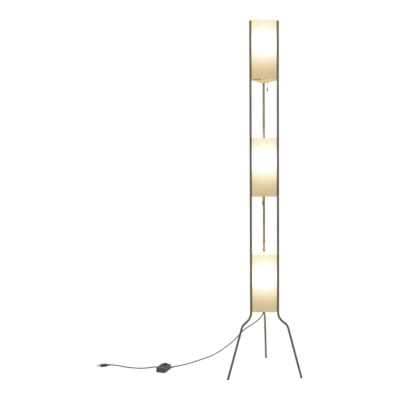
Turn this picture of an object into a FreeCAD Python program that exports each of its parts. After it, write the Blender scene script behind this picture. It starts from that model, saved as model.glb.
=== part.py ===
import FreeCAD, Part

import math
import os

# A floor lamp that stands on three slender bent posts, with three lit shades stacked between
# them.  Millimetres, +Z up.  Everything is laid out about the lamp's axis, which runs up
# midway between the posts, and is moved at the end so that the middle of the three feet on
# the floor is the origin.  The rear post stands on +Y, the front two on -Y.

# ---------------------------------------------------------------- posts and legs
POST_OFFSET = 67.5
POST_OD = 9.5
POST_WALL = 1.2
POST_TOP_Z = 1521.0
POST_ANGLES = {"left": 210.0, "right": 330.0, "rear": 90.0}
SHOULDER_Z = 247.7
SHOULDER_BEND_R = 45.0
KNEE_REACH = 44.8
KNEE_Z = 219.5
KNEE_BEND_R = 36.0
# Each leg was bent by hand: how far its foot stands out from its post, and the turn about it.
LEG_REACH = {"left": 119.0, "right": 110.0, "rear": 121.0}
LEG_TURN = {"left": 3.5, "right": 2.5, "rear": -5.0}
CAP_HEAD = 1.0
# How far the plug of a post cap stays above the highest screw in that post.
CAP_SPIGOT_CLEARANCE = 0.5
GLIDE_LENGTH = 8.0
GLIDE_SPIGOT = 8.0
GLIDE_TIP_R = 2.6
PLUG_CLEARANCE = 0.1

# ---------------------------------------------------------------- shades
SHADE_HEIGHT = 250.0
SHADE_SPACING = 500.0
LOWER_RIM_Z = 274.0
SHADE_NAMES = ("lower", "middle", "upper")
SHEET = 0.8
SHEET_GAP = 0.3
SHADE_CORNER_R = 25.0
# How far the middle of a face lies in from the straight line that touches both corners.
SHADE_FACE_DIP = 5.225
TAB_WIDTH = 38.0
TAB_HEIGHT = 15.0
TAB_DROP = {"lower": 0.0, "middle": 0.0, "upper": 2.5}
SCREW_INSET = 8.0
SCREW_SHAFT_R = 1.45
SCREW_HEAD_R = 3.0
SCREW_HEAD = 1.5
SCREW_REACH = 2.2
SCREW_SLOT = 0.8
HOLE_CLEARANCE = 0.12

# ---------------------------------------------------------------- socket carriers
ARM_ABOVE_RIM = 20.0
ARM_R = 4.0
ARM_BORE_R = 2.5
ARM_SPIGOT_R = 3.0
ARM_SPIGOT = 2.0
ARM_HOLE_CLEARANCE = 0.4
HUB_R = 7.0
HUB_BELOW = 7.0
HUB_ABOVE = 7.0
NIPPLE_R = 4.0
NIPPLE_BORE_R = 2.7
NIPPLE_LOW = 2.0
NIPPLE_HIGH = 12.0

# ---------------------------------------------------------------- sockets, heights above the arm
CAP_LOW = 7.3
CAP_HEIGHT = 18.0
CAP_R = 17.0
BRASS_WALL = 0.6
SHELL_LOW = 21.0
SHELL_HIGH = 66.0
SHELL_GAP = 0.2
CORE_HIGH = 44.0
CORE_GAP = 0.3
CORE_RECESS_R = 11.0
CORE_RECESS = 5.0
CORE_POCKET = 5.0
CONTACT_HIGH = 64.0
CONTACT_WALL = 0.4
CONTACT_TAB_R = 3.0
CONTACT_TAB = 2.0

# ---------------------------------------------------------------- bulbs
BASE_THREAD_R = 13.1
BASE_ROOT_R = 12.6
BASE_WALL = 0.4
BASE_LENGTH = 26.7
BASE_GAP = 0.3
THREAD_PITCH = 3.62
THREAD_TURNS = 5
BULB_R = 30.0
BULB_LENGTH = 110.0
BULB_NECK_R = 12.0
BULB_SHOULDER_R = 30.0
GLASS = 0.7

# ---------------------------------------------------------------- pull chains
GUIDE_ABOVE_ARM = 33.0
CHAIN_OFFSET = 26.0
CHAIN_TURN = {"lower": 3.3, "middle": -16.0, "upper": 32.0}
PENDANT_BELOW_RIM = {"lower": 44.0, "middle": 38.0, "upper": 50.0}
PULL_TRAVEL = 8.0
LINK_R = 2.0
LINK_CLEARANCE = 0.05
LINK_LENGTH = 12.0
BARREL_R = 4.0
BARREL_TOP = 5.5
BARREL_ROOF = 1.5
BELL_R = 5.5
BELL_HEIGHT = 4.0
SPIGOT_R = 3.0
BEAD_R = 1.2
BEAD_NECK_R = 0.45
BEAD_PITCH = 3.2
BEAD_SOCKET_R = 1.5
BEAD_SOCKET_DEPTH = 1.0
PENDANT_LENGTH = 21.0
PENDANT_R = 2.75

# ---------------------------------------------------------------- wiring and cord
RISER_R = 1.9
RISER_SHIFT = 1.1
RISER_END = 2.4
LEAD_R = 1.6
LEAD_BEND = 2.0
CORD_R = 2.25
# How far a free cord stops short of the rubber that it comes out of, so that its end can tilt.
CORD_END_GAP = 0.4
CORD_EXIT_Y = 35.0
CORD_EXIT_TILT = 6.0
EXIT_BOSS_R = 6.0
EXIT_BOSS = 9.0
RELIEF_LENGTH = 20.0
RELIEF_SPIGOT = 4.0
RELIEF_SPIGOT_R = 3.3
RELIEF_WIDE_R = 4.0
RELIEF_NARROW_R = 2.9
WIRE_CLEARANCE = 0.15
FLOOR_GAP = 0.05
TRIM_SHARE = 0.45
# The hanging cord's route from the lamp's axis: in the air, on the floor, up to the box's bush.
HANGING_ROUTE = [(-4.7, 36.0, 250.5), (-12.6, 43.6, 234.2), (-31.5, 59.0, 210.6),
                 (-62.5, 84.5, 183.0), (-96.0, 113.0, 154.0), (-119.0, 134.0, 121.0),
                 (-150.0, 163.5, 83.0), (-188.0, 198.0, 45.0), (-221.0, 222.0, 16.0)]
FLOOR_ROUTE = [(-251.0, 214.0), (-277.0, 184.0), (-308.0, 148.5), (-341.0, 113.0),
               (-367.0, 91.5), (-385.5, 77.5)]
LAST_RISE = (-396.5, 69.0, 3.6)
# The second cord's route across the floor, between its drop from the box and its rise to the plug.
MAINS_DROP = (-494.5, 61.0, 3.6)
MAINS_ROUTE = [(-509.5, 60.2), (-529.0, 52.2), (-552.0, 48.4), (-577.0, 52.6), (-604.0, 58.6),
               (-630.0, 69.0), (-652.0, 81.4), (-671.0, 90.2)]
MAINS_RISE = (-685.4, 93.3, 3.6)

# ---------------------------------------------------------------- dimmer box
DIMMER_X = -448.4
DIMMER_Y = 24.0
DIMMER_TURN = -16.5
DIMMER_WIDTH = 44.0
DIMMER_LENGTH = 63.0
DIMMER_BASE_H = 11.0
DIMMER_TOP_H = 11.0
DIMMER_WALL = 1.8
DIMMER_CORNER_R = 5.0
DIMMER_EDGE_R = 2.0
BOSS_R = 3.2
BOSS_X = 17.8
BOSS_Y = (-27.0, 14.0)
CASE_SCREW_R = 1.3
CASE_SCREW_HEAD_R = 2.5
CASE_SCREW_HEAD = 1.4
CASE_SCREW_LENGTH = 15.0
RECESS_WIDTH = 20.0
RECESS_LENGTH = 46.0
RECESS_DEPTH = 1.0
RECESS_SHIFT = 4.0
SLOT_WIDTH = 3.2
SLIDER_TRAVEL = 26.0
SLIDER_REST_Y = 22.0
KNOB_WIDTH = 12.0
KNOB_LENGTH = 9.0
KNOB_HEIGHT = 5.7
KNOB_GAP = 0.3
STEM_WIDTH = 2.6
STEM_LENGTH = 6.0
SLIDER_FOOT = 1.2
BOARD_WIDTH = 24.0
BOARD_LENGTH = 50.0
BOARD = 1.6
BOARD_Z = 4.5
PEG_R = 1.6
TRACK_WIDTH = 8.0
TRACK_LENGTH = 42.0
BUSH_Z = 5.0
BUSH_OUT = 20.0
BUSH_IN = 2.0
BUSH_NECK_R = 3.0
BUSH_WIDE_R = 3.6
BUSH_NARROW_R = 2.8
LEFT_BUSH_INSET = 9.0
RIGHT_BUSH_ANGLE = 58.0

# ---------------------------------------------------------------- plug
PLUG_TIP_X = -759.0
PLUG_TIP_Y = 80.5
PLUG_HEADING = 190.0
PLUG_WIDTH = 22.0
PLUG_HEIGHT = 10.0
PLUG_LENGTH = 26.0
PLUG_CORNER_R = 3.5
PLUG_NOSE = 20.0
BLADE_LENGTH = 16.0
BLADE_WIDTH = 6.3
BLADE_THICK = 1.5
BLADE_SPACING = 12.7
BLADE_ROOT = 4.0

UP = FreeCAD.Vector(0, 0, 1)
NODES = {}


# ================================================================ small helpers
def vec(x, y, z=0.0):
    return FreeCAD.Vector(x, y, z)


def polar(radius, degrees, z=0.0):
    angle = math.radians(degrees)
    return vec(radius * math.cos(angle), radius * math.sin(angle), z)


def rod(radius, length, base, direction=UP):
    return Part.makeCylinder(radius, length, base, direction)


def rod_between(radius, start, end):
    return rod(radius, (end - start).Length, start, end - start)


def cone_between(radius_start, radius_end, start, end):
    return Part.makeCone(radius_start, radius_end, (end - start).Length, start, end - start)


def block(x0, x1, y0, y1, z0, z1):
    return Part.makeBox(x1 - x0, y1 - y0, z1 - z0, vec(x0, y0, z0))


def turned(start, steps, base=FreeCAD.Vector(0, 0, 0)):
    """A turned solid: a step of two numbers is a line to (radius, height), one of four an arc."""
    edges = []
    here = vec(start[0], 0, start[1])
    first = here
    for step in steps:
        there = vec(step[-2], 0, step[-1])
        if len(step) == 4:
            edges.append(Part.Arc(here, vec(step[0], 0, step[1]), there).toShape())
        else:
            edges.append(Part.LineSegment(here, there).toShape())
        here = there
    edges.append(Part.LineSegment(here, first).toShape())
    solid = Part.Face(Part.Wire(edges)).revolve(vec(0, 0), UP, 360)
    solid.translate(base)
    return solid


def pointing(shape, base, direction):
    """Turn a shape drawn up +Z from the origin so that it starts at base and runs along direction."""
    copy = shape.copy()
    copy.Placement = FreeCAD.Placement(base, FreeCAD.Rotation(UP, direction))
    return copy


def bend_trims(points, radii):
    """How far before each corner of a bent tube its bend of the given radius starts."""
    trims = []
    for before, corner, after, radius in zip(points, points[1:], points[2:], radii):
        half_turn = (math.pi - (before - corner).getAngle(after - corner)) / 2
        trims.append(radius * math.tan(half_turn))
    return trims


def cord_trims(points):
    """Arcs as large as their runs allow: each starts a fixed share of the shorter run before."""
    runs = [(b - a).Length for a, b in zip(points, points[1:])]
    return [TRIM_SHARE * min(a, b) for a, b in zip(runs, runs[1:])]


def rounded_path(points, trims):
    """Straight runs through the points joined by tangent arcs; gives the wire and the radii."""
    edges = []
    radii = []
    start = points[0]
    for before, corner, after, trim in zip(points, points[1:], points[2:], trims):
        back = (before - corner).normalize()
        onward = (after - corner).normalize()
        half_turn = (math.pi - back.getAngle(onward)) / 2
        radius = trim / math.tan(half_turn)
        inward = (back + onward).normalize()
        middle = corner + inward * (radius / math.cos(half_turn) - radius)
        enter = corner + back * trim
        leave = corner + onward * trim
        edges.append(Part.LineSegment(start, enter).toShape())
        edges.append(Part.Arc(enter, middle, leave).toShape())
        radii.append(radius)
        start = leave
    edges.append(Part.LineSegment(start, points[-1]).toShape())
    return Part.Wire(edges), radii


def swept(points, trims, radius):
    """A round rod along the rounded path, with the path's length and its bend radii."""
    path, radii = rounded_path(points, trims)
    ring = Part.Wire(Part.makeCircle(radius, points[0], points[1] - points[0]))
    return path.makePipeShell([ring], True, False), path.Length, radii


def rim_z(name):
    return LOWER_RIM_Z + SHADE_SPACING * SHADE_NAMES.index(name)


def arm_z(name):
    return rim_z(name) + ARM_ABOVE_RIM


def screw_heights():
    low = [rim_z(name) + SCREW_INSET for name in SHADE_NAMES]
    return low + [rim_z(name) + SHADE_HEIGHT - SCREW_INSET for name in SHADE_NAMES]


def keep(name, *solids):
    """Store one node: a single solid, or a group of separate ones."""
    NODES[name] = solids[0] if len(solids) == 1 else Part.makeCompound(list(solids))


# ================================================================ posts and legs
def leg_points(side):
    """The bent line of one post in its own plane: X out from the post's centre, Z up."""
    knee = vec(KNEE_REACH, 0, KNEE_Z)
    foot = vec(LEG_REACH[side], 0, 0)
    slope = (foot - knee).normalize()
    return [vec(0, 0, POST_TOP_Z), vec(0, 0, SHOULDER_Z), knee, foot - slope * GLIDE_LENGTH], slope


def on_post(shape, side):
    """Move a shape from a post's own plane to where that post stands."""
    angle = POST_ANGLES[side]
    shape.rotate(vec(0, 0), UP, angle + LEG_TURN[side])
    shape.translate(polar(POST_OFFSET, angle))
    return shape


def foot_centre(side):
    angle = POST_ANGLES[side]
    return polar(POST_OFFSET, angle) + polar(LEG_REACH[side], angle + LEG_TURN[side])


def post_hole(radius, side, height):
    """A drill through the wall of a post that faces the lamp's axis."""
    angle = POST_ANGLES[side]
    start = polar(POST_OFFSET - POST_OD, angle, height)
    return rod_between(radius, start, polar(POST_OFFSET, angle, height))


def make_post(side):
    points, _ = leg_points(side)
    trims = bend_trims(points, (SHOULDER_BEND_R, KNEE_BEND_R))
    outer, _, _ = swept(points, trims, POST_OD / 2)
    bore, _, _ = swept(points, trims, POST_OD / 2 - POST_WALL)
    post = on_post(outer.cut(bore), side)
    for height in screw_heights():
        post = post.cut(post_hole(SCREW_SHAFT_R + HOLE_CLEARANCE, side, height))
    if side == "rear":
        for name in SHADE_NAMES:
            post = post.cut(post_hole(ARM_SPIGOT_R + HOLE_CLEARANCE, side, arm_z(name)))
    keep(side + "_post", post)


def cap_spigot():
    """The length of a cap's plug: what is left above the highest screw in the post."""
    return POST_TOP_Z - max(screw_heights()) - SCREW_SHAFT_R - CAP_SPIGOT_CLEARANCE


def make_cap(side):
    """A domed cap with a short plug in the top of a post."""
    spigot = cap_spigot()
    spigot_r = POST_OD / 2 - POST_WALL - PLUG_CLEARANCE
    steps = [(spigot_r, -spigot), (spigot_r, 0), (POST_OD / 2, 0)]
    steps += [(POST_OD / 2, CAP_HEAD * 0.4), (POST_OD * 0.4, CAP_HEAD * 0.85, POST_OD * 0.2, CAP_HEAD)]
    steps.append((0, CAP_HEAD))
    return turned((0, -spigot), steps, polar(POST_OFFSET, POST_ANGLES[side], POST_TOP_Z))


def make_glide(side):
    """A rounded plug in the end of a leg, cut flat where it stands on the floor."""
    points, slope = leg_points(side)
    spigot_r = POST_OD / 2 - POST_WALL - PLUG_CLEARANCE
    round_start = GLIDE_LENGTH * 0.55
    tip = GLIDE_LENGTH + POST_OD / 4
    steps = [(spigot_r, -GLIDE_SPIGOT), (spigot_r, 0), (POST_OD / 2, 0), (POST_OD / 2, round_start)]
    steps += [(POST_OD / 2 * 0.86, (round_start + tip) / 2, GLIDE_TIP_R, tip), (0, tip)]
    glide = pointing(turned((0, -GLIDE_SPIGOT), steps), points[-1], slope)
    below = block(-POST_OFFSET, 3 * POST_OFFSET, -POST_OD, POST_OD, -POST_OFFSET, 0)
    return on_post(glide.cut(below), side)


def make_frame():
    for side in POST_ANGLES:
        make_post(side)
    keep("post_caps", *[make_cap(side) for side in POST_ANGLES])
    keep("foot_glides", *[make_glide(side) for side in POST_ANGLES])


# ================================================================ shades
def sheet_apex_r():
    """How far the sheet's outer face reaches at a corner, just inside a post."""
    return POST_OFFSET - POST_OD / 2 - SHEET_GAP


def face_depth(span):
    """How far the middle of a face is from the axis, between corners the given angle apart."""
    centre_r = sheet_apex_r() - SHADE_CORNER_R
    return centre_r * math.cos(math.radians(span / 2)) + SHADE_CORNER_R - SHADE_FACE_DIP


def face_centre(corner, span):
    """The centre of the hollow arc that joins a corner to the next one round."""
    half = (sheet_apex_r() - SHADE_CORNER_R) * math.sin(math.radians(span / 2))
    depth = SHADE_CORNER_R - SHADE_FACE_DIP
    face_r = (depth ** 2 + half ** 2 - SHADE_CORNER_R ** 2) / (2 * SHADE_FACE_DIP)
    return polar(face_depth(span) + face_r, corner + span / 2)


def outline(inset):
    """The shade's section: a round corner at each post, joined by faces drawn slightly inwards."""
    centre_r = sheet_apex_r() - SHADE_CORNER_R
    radius = SHADE_CORNER_R - inset
    corners = sorted(POST_ANGLES.values())
    spans = [(b - a) % 360 for a, b in zip(corners, corners[1:] + corners[:1])]
    edges = []
    for place, corner in enumerate(corners):
        span = spans[place]
        centre = polar(centre_r, corner)
        next_centre = polar(centre_r, corner + span)
        last_face = face_centre(corner - spans[place - 1], spans[place - 1])
        next_face = face_centre(corner, span)
        enter = centre + (last_face - centre).normalize() * radius
        leave = centre + (next_face - centre).normalize() * radius
        reach = next_centre + (next_face - next_centre).normalize() * radius
        edges.append(Part.Arc(enter, polar(sheet_apex_r() - inset, corner), leave).toShape())
        middle = polar(face_depth(span) - inset, corner + span / 2)
        edges.append(Part.Arc(leave, middle, reach).toShape())
    return Part.Wire(edges)


def ring(outer_inset, thickness, low, height):
    """A wall that follows the shade's section, from one inset to the next."""
    outer = Part.Face(outline(outer_inset)).extrude(vec(0, 0, height))
    inner = Part.Face(outline(outer_inset + thickness)).extrude(vec(0, 0, height))
    wall = outer.cut(inner)
    wall.translate(vec(0, 0, low))
    return wall


def make_shade(name):
    low = rim_z(name)
    wall = ring(0.0, SHEET, low, SHADE_HEIGHT)
    reach = sheet_apex_r() + SHEET
    for angle in POST_ANGLES.values():
        for height in (low + SCREW_INSET, low + SHADE_HEIGHT - SCREW_INSET):
            start = polar(reach - SHADE_CORNER_R / 2, angle, height)
            wall = wall.cut(rod_between(SCREW_SHAFT_R + HOLE_CLEARANCE, start, polar(reach, angle, height)))
    start = vec(0, reach - SHADE_CORNER_R / 2, arm_z(name))
    wall = wall.cut(rod_between(ARM_R + ARM_HOLE_CLEARANCE, start, vec(0, reach, arm_z(name))))
    keep(name + "_shade", wall.fuse(make_tab(low - TAB_DROP[name])))


def make_tab(low):
    """The joint's inner strip; the upper one hangs lower and shows under the rim's front left."""
    strip = ring(SHEET, SHEET, low, TAB_HEIGHT)
    left = polar(POST_OFFSET, POST_ANGLES["left"]).x + POST_OD
    front = block(left, left + TAB_WIDTH, -POST_OFFSET, -SHADE_CORNER_R / 2, 0, POST_TOP_Z)
    return strip.common(front)


def make_screw(angle, height):
    """A pan-head screw from inside the shade, through the sheet into the wall of a post."""
    seat = sheet_apex_r() - SHEET - SHEET_GAP
    length = POST_OFFSET - POST_OD / 2 + SCREW_REACH - seat
    steps = [(SCREW_HEAD_R * 0.6, -SCREW_HEAD), (SCREW_HEAD_R * 0.92, -SCREW_HEAD * 0.8, SCREW_HEAD_R, 0)]
    steps += [(SCREW_SHAFT_R, 0), (SCREW_SHAFT_R, length), (0, length)]
    screw = turned((0, -SCREW_HEAD), steps)
    slot_floor = -SCREW_HEAD * 0.5
    slot = block(-SCREW_HEAD_R, SCREW_HEAD_R, -SCREW_SLOT / 2, SCREW_SLOT / 2, -2 * SCREW_HEAD, slot_floor)
    return pointing(screw.cut(slot), polar(seat, angle, height), polar(1, angle))


def make_shades():
    for name in SHADE_NAMES:
        make_shade(name)
        heights = (rim_z(name) + SCREW_INSET, rim_z(name) + SHADE_HEIGHT - SCREW_INSET)
        screws = [make_screw(angle, z) for angle in POST_ANGLES.values() for z in heights]
        keep(name + "_shade_screws", *screws)


# ================================================================ socket carriers and wiring
def exit_direction():
    """The way the cord leaves under the lower arm: down, and a little to the left."""
    tilt = math.radians(CORD_EXIT_TILT)
    return vec(-math.sin(tilt), 0, -math.cos(tilt))


def exit_point(distance):
    return vec(0, CORD_EXIT_Y, arm_z("lower")) + exit_direction() * distance


def make_arm(name):
    """A hollow arm from the rear post to a hub on the lamp's axis."""
    z = arm_z(name)
    shoulder = sheet_apex_r()
    hub = turned((0, -HUB_BELOW), [(HUB_R * 0.75, -HUB_BELOW * 0.7, HUB_R, 0), (HUB_R, HUB_ABOVE),
                                   (0, HUB_ABOVE)], vec(0, 0, z))
    arm = hub.fuse(rod_between(ARM_R, vec(0, 0, z), vec(0, shoulder, z)))
    tip = vec(0, POST_OFFSET - POST_OD / 2 + ARM_SPIGOT, z)
    arm = arm.fuse(rod_between(ARM_SPIGOT_R, vec(0, shoulder - ARM_R, z), tip))
    if name == "lower":
        arm = arm.fuse(rod_between(EXIT_BOSS_R, exit_point(0), exit_point(EXIT_BOSS)))
        arm = arm.cut(rod_between(CORD_R + WIRE_CLEARANCE, exit_point(0), exit_point(EXIT_BOSS)))
        seat = exit_point(EXIT_BOSS - RELIEF_SPIGOT)
        arm = arm.cut(rod_between(RELIEF_SPIGOT_R + PLUG_CLEARANCE, seat, exit_point(EXIT_BOSS)))
    arm = arm.cut(rod_between(ARM_BORE_R, vec(0, 0, z), tip))
    arm = arm.cut(rod(ARM_BORE_R, HUB_ABOVE, vec(0, 0, z)))
    arm = arm.cut(rod(NIPPLE_R + PLUG_CLEARANCE, HUB_ABOVE - NIPPLE_LOW, vec(0, 0, z + NIPPLE_LOW)))
    keep(name + "_socket_arm", arm)


def make_nipple(name):
    z = arm_z(name)
    tube = rod(NIPPLE_R, NIPPLE_HIGH - NIPPLE_LOW, vec(0, 0, z + NIPPLE_LOW))
    keep(name + "_socket_nipple", tube.cut(rod(NIPPLE_BORE_R, NIPPLE_HIGH, vec(0, 0, z))))


def make_wiring():
    """One riser in the rear post, a lead through each arm and nipple, and the cord's inner end."""
    riser_y = POST_OFFSET + RISER_SHIFT
    low = arm_z("lower")
    loom = rod(RISER_R, arm_z("upper") - low + 2 * RISER_END, vec(0, riser_y, low - RISER_END))
    for name in SHADE_NAMES:
        z = arm_z(name)
        route = [vec(0, 0, z + SHELL_LOW + CORE_RECESS), vec(0, 0, z), vec(0, riser_y, z)]
        loom = loom.fuse(swept(route, [LEAD_BEND], LEAD_R)[0])
    loom = loom.fuse(rod_between(CORD_R, exit_point(0), exit_point(EXIT_BOSS + RELIEF_LENGTH)))
    keep("wiring", loom)


def make_relief():
    """The tapered rubber sleeve that the cord hangs out of."""
    seat = exit_point(EXIT_BOSS - RELIEF_SPIGOT)
    root = exit_point(EXIT_BOSS)
    tip = exit_point(EXIT_BOSS + RELIEF_LENGTH)
    sleeve = rod_between(RELIEF_SPIGOT_R, seat, root)
    sleeve = sleeve.fuse(cone_between(RELIEF_WIDE_R, RELIEF_NARROW_R, root, tip))
    keep("cord_relief", sleeve.cut(rod_between(CORD_R + WIRE_CLEARANCE, seat, tip)))


# ================================================================ sockets
def make_socket_cap(name):
    low = arm_z(name) + CAP_LOW
    hole = NIPPLE_R + PLUG_CLEARANCE
    inner = CAP_R - BRASS_WALL
    dome = CAP_HEIGHT * 0.55
    steps = [(CAP_R * 0.55, 0), (CAP_R * 0.88, CAP_HEIGHT * 0.17, CAP_R, dome), (CAP_R, CAP_HEIGHT)]
    steps += [(inner, CAP_HEIGHT), (inner, dome)]
    steps += [(inner * 0.88, CAP_HEIGHT * 0.17 + BRASS_WALL, CAP_R * 0.53, BRASS_WALL), (hole, BRASS_WALL)]
    keep(name + "_socket_cap", turned((hole, 0), steps, vec(0, 0, low)))


def shell_r():
    return CAP_R - BRASS_WALL - SHELL_GAP


def core_r():
    return shell_r() - BRASS_WALL - CORE_GAP


def chain_angle(name):
    """The compass angle of a pull chain, measured from the front towards the right."""
    return -90.0 + CHAIN_TURN[name]


def make_socket_shell(name):
    z = arm_z(name)
    tube = rod(shell_r(), SHELL_HIGH - SHELL_LOW, vec(0, 0, z + SHELL_LOW))
    tube = tube.cut(rod(shell_r() - BRASS_WALL, SHELL_HIGH, vec(0, 0, z)))
    guide_z = z + GUIDE_ABOVE_ARM
    outside = polar(2 * CAP_R, chain_angle(name), guide_z)
    hole = rod_between(SPIGOT_R + HOLE_CLEARANCE, vec(0, 0, guide_z), outside)
    keep(name + "_socket_shell", tube.cut(hole))


def make_socket_core(name):
    """The moulded insulator, hollow below for the wires and slotted where the chain goes in."""
    z = arm_z(name)
    core = rod(core_r(), CORE_HIGH - SHELL_LOW, vec(0, 0, z + SHELL_LOW))
    core = core.cut(rod(CORE_RECESS_R, CORE_RECESS, vec(0, 0, z + SHELL_LOW)))
    guide_z = z + GUIDE_ABOVE_ARM
    half = CORE_POCKET / 2
    pocket = block(CORE_RECESS_R / 2, CAP_R, -half, half, guide_z - CORE_POCKET, guide_z + CORE_POCKET)
    pocket.rotate(vec(0, 0), UP, chain_angle(name))
    keep(name + "_socket_core", core.cut(pocket))


def make_contacts(name):
    """The thin screwed sleeve that the bulb turns into, and the contact under the bulb's tip."""
    low = arm_z(name) + CORE_HIGH
    inner = BASE_THREAD_R + BASE_GAP
    sleeve = rod(inner + CONTACT_WALL, CONTACT_HIGH - CORE_HIGH, vec(0, 0, low))
    sleeve = sleeve.cut(rod(inner, CONTACT_HIGH, vec(0, 0, low)))
    keep(name + "_contact_shell", sleeve, rod(CONTACT_TAB_R, CONTACT_TAB, vec(0, 0, low)))


def make_guide(name):
    """The brass elbow on the socket's side with a bell mouth that the chain hangs from."""
    angle = chain_angle(name)
    z = arm_z(name) + GUIDE_ABOVE_ARM
    centre = polar(CHAIN_OFFSET, angle)
    bore_r = LINK_R + LINK_CLEARANCE
    bell_top = -(PULL_TRAVEL + BARREL_ROOF + 0.5)
    mouth = bell_top - BELL_HEIGHT
    roof = BARREL_TOP - BARREL_ROOF
    steps = [(BARREL_R, BARREL_TOP), (BARREL_R, bell_top), (BELL_R, mouth)]
    steps += [(BELL_R - BARREL_ROOF / 2, mouth), (bore_r, bell_top), (bore_r, roof), (0, roof)]
    guide = turned((0, BARREL_TOP), steps, centre + vec(0, 0, z))
    inner_end = polar(core_r() + SHELL_GAP, angle, z)
    wall = polar(CHAIN_OFFSET - bore_r, angle, z)
    collar = polar(shell_r() + SHELL_GAP, angle, z)
    collar_end = polar(shell_r() + SHELL_GAP + BARREL_ROOF, angle, z)
    neck = rod_between(SPIGOT_R, inner_end, wall).fuse(rod_between(BARREL_R + 1, collar, collar_end))
    neck = neck.cut(rod(bore_r, BARREL_R * 4, centre + vec(0, 0, z - 2 * BARREL_R)))
    guide = guide.fuse(neck)
    keep(name + "_chain_guide", guide.cut(rod_between(SPIGOT_R / 2, inner_end, centre + vec(0, 0, z))))


def pivot_point(name):
    """The centre of the top bead, which the hanging chain swings about."""
    top = arm_z(name) + GUIDE_ABOVE_ARM + BARREL_TOP - BARREL_ROOF - 0.4
    return polar(CHAIN_OFFSET, chain_angle(name), top - LINK_LENGTH + BEAD_SOCKET_DEPTH)


def make_pull_link(name):
    """The sliding pin in the guide, with a round pocket below that holds the top bead."""
    pivot = pivot_point(name)
    pin = rod(LINK_R, LINK_LENGTH, pivot - vec(0, 0, BEAD_SOCKET_DEPTH))
    keep(name + "_pull_link", pin.cut(Part.makeSphere(BEAD_SOCKET_R, pivot)))


def make_chain(name):
    """Beads on thin necks from the pull link down to the top of the pendant."""
    pivot = pivot_point(name)
    drop = pivot.z - (rim_z(name) - PENDANT_BELOW_RIM[name] + PENDANT_LENGTH)
    beads = round(drop / BEAD_PITCH)
    pitch = drop / beads
    edge = math.sqrt(BEAD_R ** 2 - BEAD_NECK_R ** 2)
    steps = [(BEAD_R, 0, BEAD_NECK_R, -edge)]
    for count in range(1, beads):
        centre = -count * pitch
        steps.append((BEAD_NECK_R, centre + edge))
        steps.append((BEAD_R, centre, BEAD_NECK_R, centre - edge))
    steps.append((BEAD_NECK_R, -drop))
    steps.append((0, -drop))
    keep(name + "_bead_chain", turned((0, BEAD_R), steps, pivot))


def make_pendant(name):
    """The turned metal drop that is pulled."""
    top = polar(CHAIN_OFFSET, chain_angle(name), rim_z(name) - PENDANT_BELOW_RIM[name] + PENDANT_LENGTH)
    neck = PENDANT_R * 0.55
    end = PENDANT_LENGTH
    steps = [(neck, 0), (neck, -end * 0.12), (PENDANT_R * 0.72, -end * 0.3, PENDANT_R, -end * 0.5)]
    steps += [(PENDANT_R, -end * 0.86), (PENDANT_R * 0.9, -end * 0.96, PENDANT_R * 0.5, -end), (0, -end)]
    keep(name + "_chain_pendant", turned((0, 0), steps, top))


# ================================================================ bulbs
def make_bulb_base(name):
    """The bulb's screw cap: a contact tip, five rounded threads and a plain rim."""
    low = CORE_HIGH + CONTACT_TAB + BASE_GAP
    floor = low + 4.2
    steps = [(4.2, low), (5.0, low + 1.4), (9.0, low + 3.0), (BASE_ROOT_R, floor)]
    for turn in range(THREAD_TURNS):
        start = floor + turn * THREAD_PITCH
        top = start + THREAD_PITCH
        steps.append((BASE_THREAD_R, (start + top) / 2, BASE_ROOT_R, top))
    inner = BASE_ROOT_R - BASE_WALL
    high = low + BASE_LENGTH
    steps += [(BASE_ROOT_R, high), (inner, high), (inner, floor + BASE_WALL), (0, floor + BASE_WALL)]
    keep(name + "_bulb_base", turned((0, low), steps, vec(0, 0, arm_z(name))))


def make_bulb_glass(name):
    """A pear-shaped envelope: a ball, a hollow shoulder and a straight neck, one wall thick."""
    tip = CORE_HIGH + CONTACT_TAB + BASE_GAP
    centre = tip + BULB_LENGTH - BULB_R
    neck_low = tip + BASE_LENGTH - 5.0
    drop = math.sqrt((BULB_R + BULB_SHOULDER_R) ** 2 - (BULB_NECK_R + BULB_SHOULDER_R) ** 2)
    lean = math.atan2(drop, BULB_NECK_R + BULB_SHOULDER_R)
    shoulder_x = BULB_NECK_R + BULB_SHOULDER_R

    def wall_line(inset):
        ball = BULB_R - inset
        hollow = BULB_SHOULDER_R + inset
        meet = (ball * math.cos(lean), centre - ball * math.sin(lean))
        side = (math.pi / 2 - lean) / 2
        above = (ball * math.cos(side), centre + ball * math.sin(side))
        inner = (shoulder_x - hollow * math.cos(lean / 2), centre - drop + hollow * math.sin(lean / 2))
        return ball, above, meet, inner, shoulder_x - hollow

    ball, above, meet, bend, neck = wall_line(0.0)
    steps = [(*above, *meet), (*bend, neck, centre - drop), (neck, neck_low)]
    ball_in, above_in, meet_in, bend_in, neck_in = wall_line(GLASS)
    steps += [(neck_in, neck_low), (neck_in, centre - drop), (*bend_in, *meet_in)]
    steps.append((*above_in, 0, centre + ball_in))
    keep(name + "_bulb_glass", turned((0, centre + ball), steps, vec(0, 0, arm_z(name))))


def make_sockets():
    for name in SHADE_NAMES:
        make_arm(name)
        make_nipple(name)
        make_socket_cap(name)
        make_socket_shell(name)
        make_socket_core(name)
        make_contacts(name)
        make_guide(name)
        make_pull_link(name)
        make_chain(name)
        make_pendant(name)
        make_bulb_base(name)
        make_bulb_glass(name)


# ================================================================ dimmer box
def in_dimmer(x, y, z=0.0):
    """A point of the dimmer's own frame, X across and Y along it, where it lies on the floor."""
    point = FreeCAD.Rotation(UP, DIMMER_TURN).multVec(vec(x, y, z))
    return point + vec(DIMMER_X, DIMMER_Y)


def at_dimmer(shape):
    shape.rotate(vec(0, 0), UP, DIMMER_TURN)
    shape.translate(vec(DIMMER_X, DIMMER_Y))
    return shape


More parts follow.
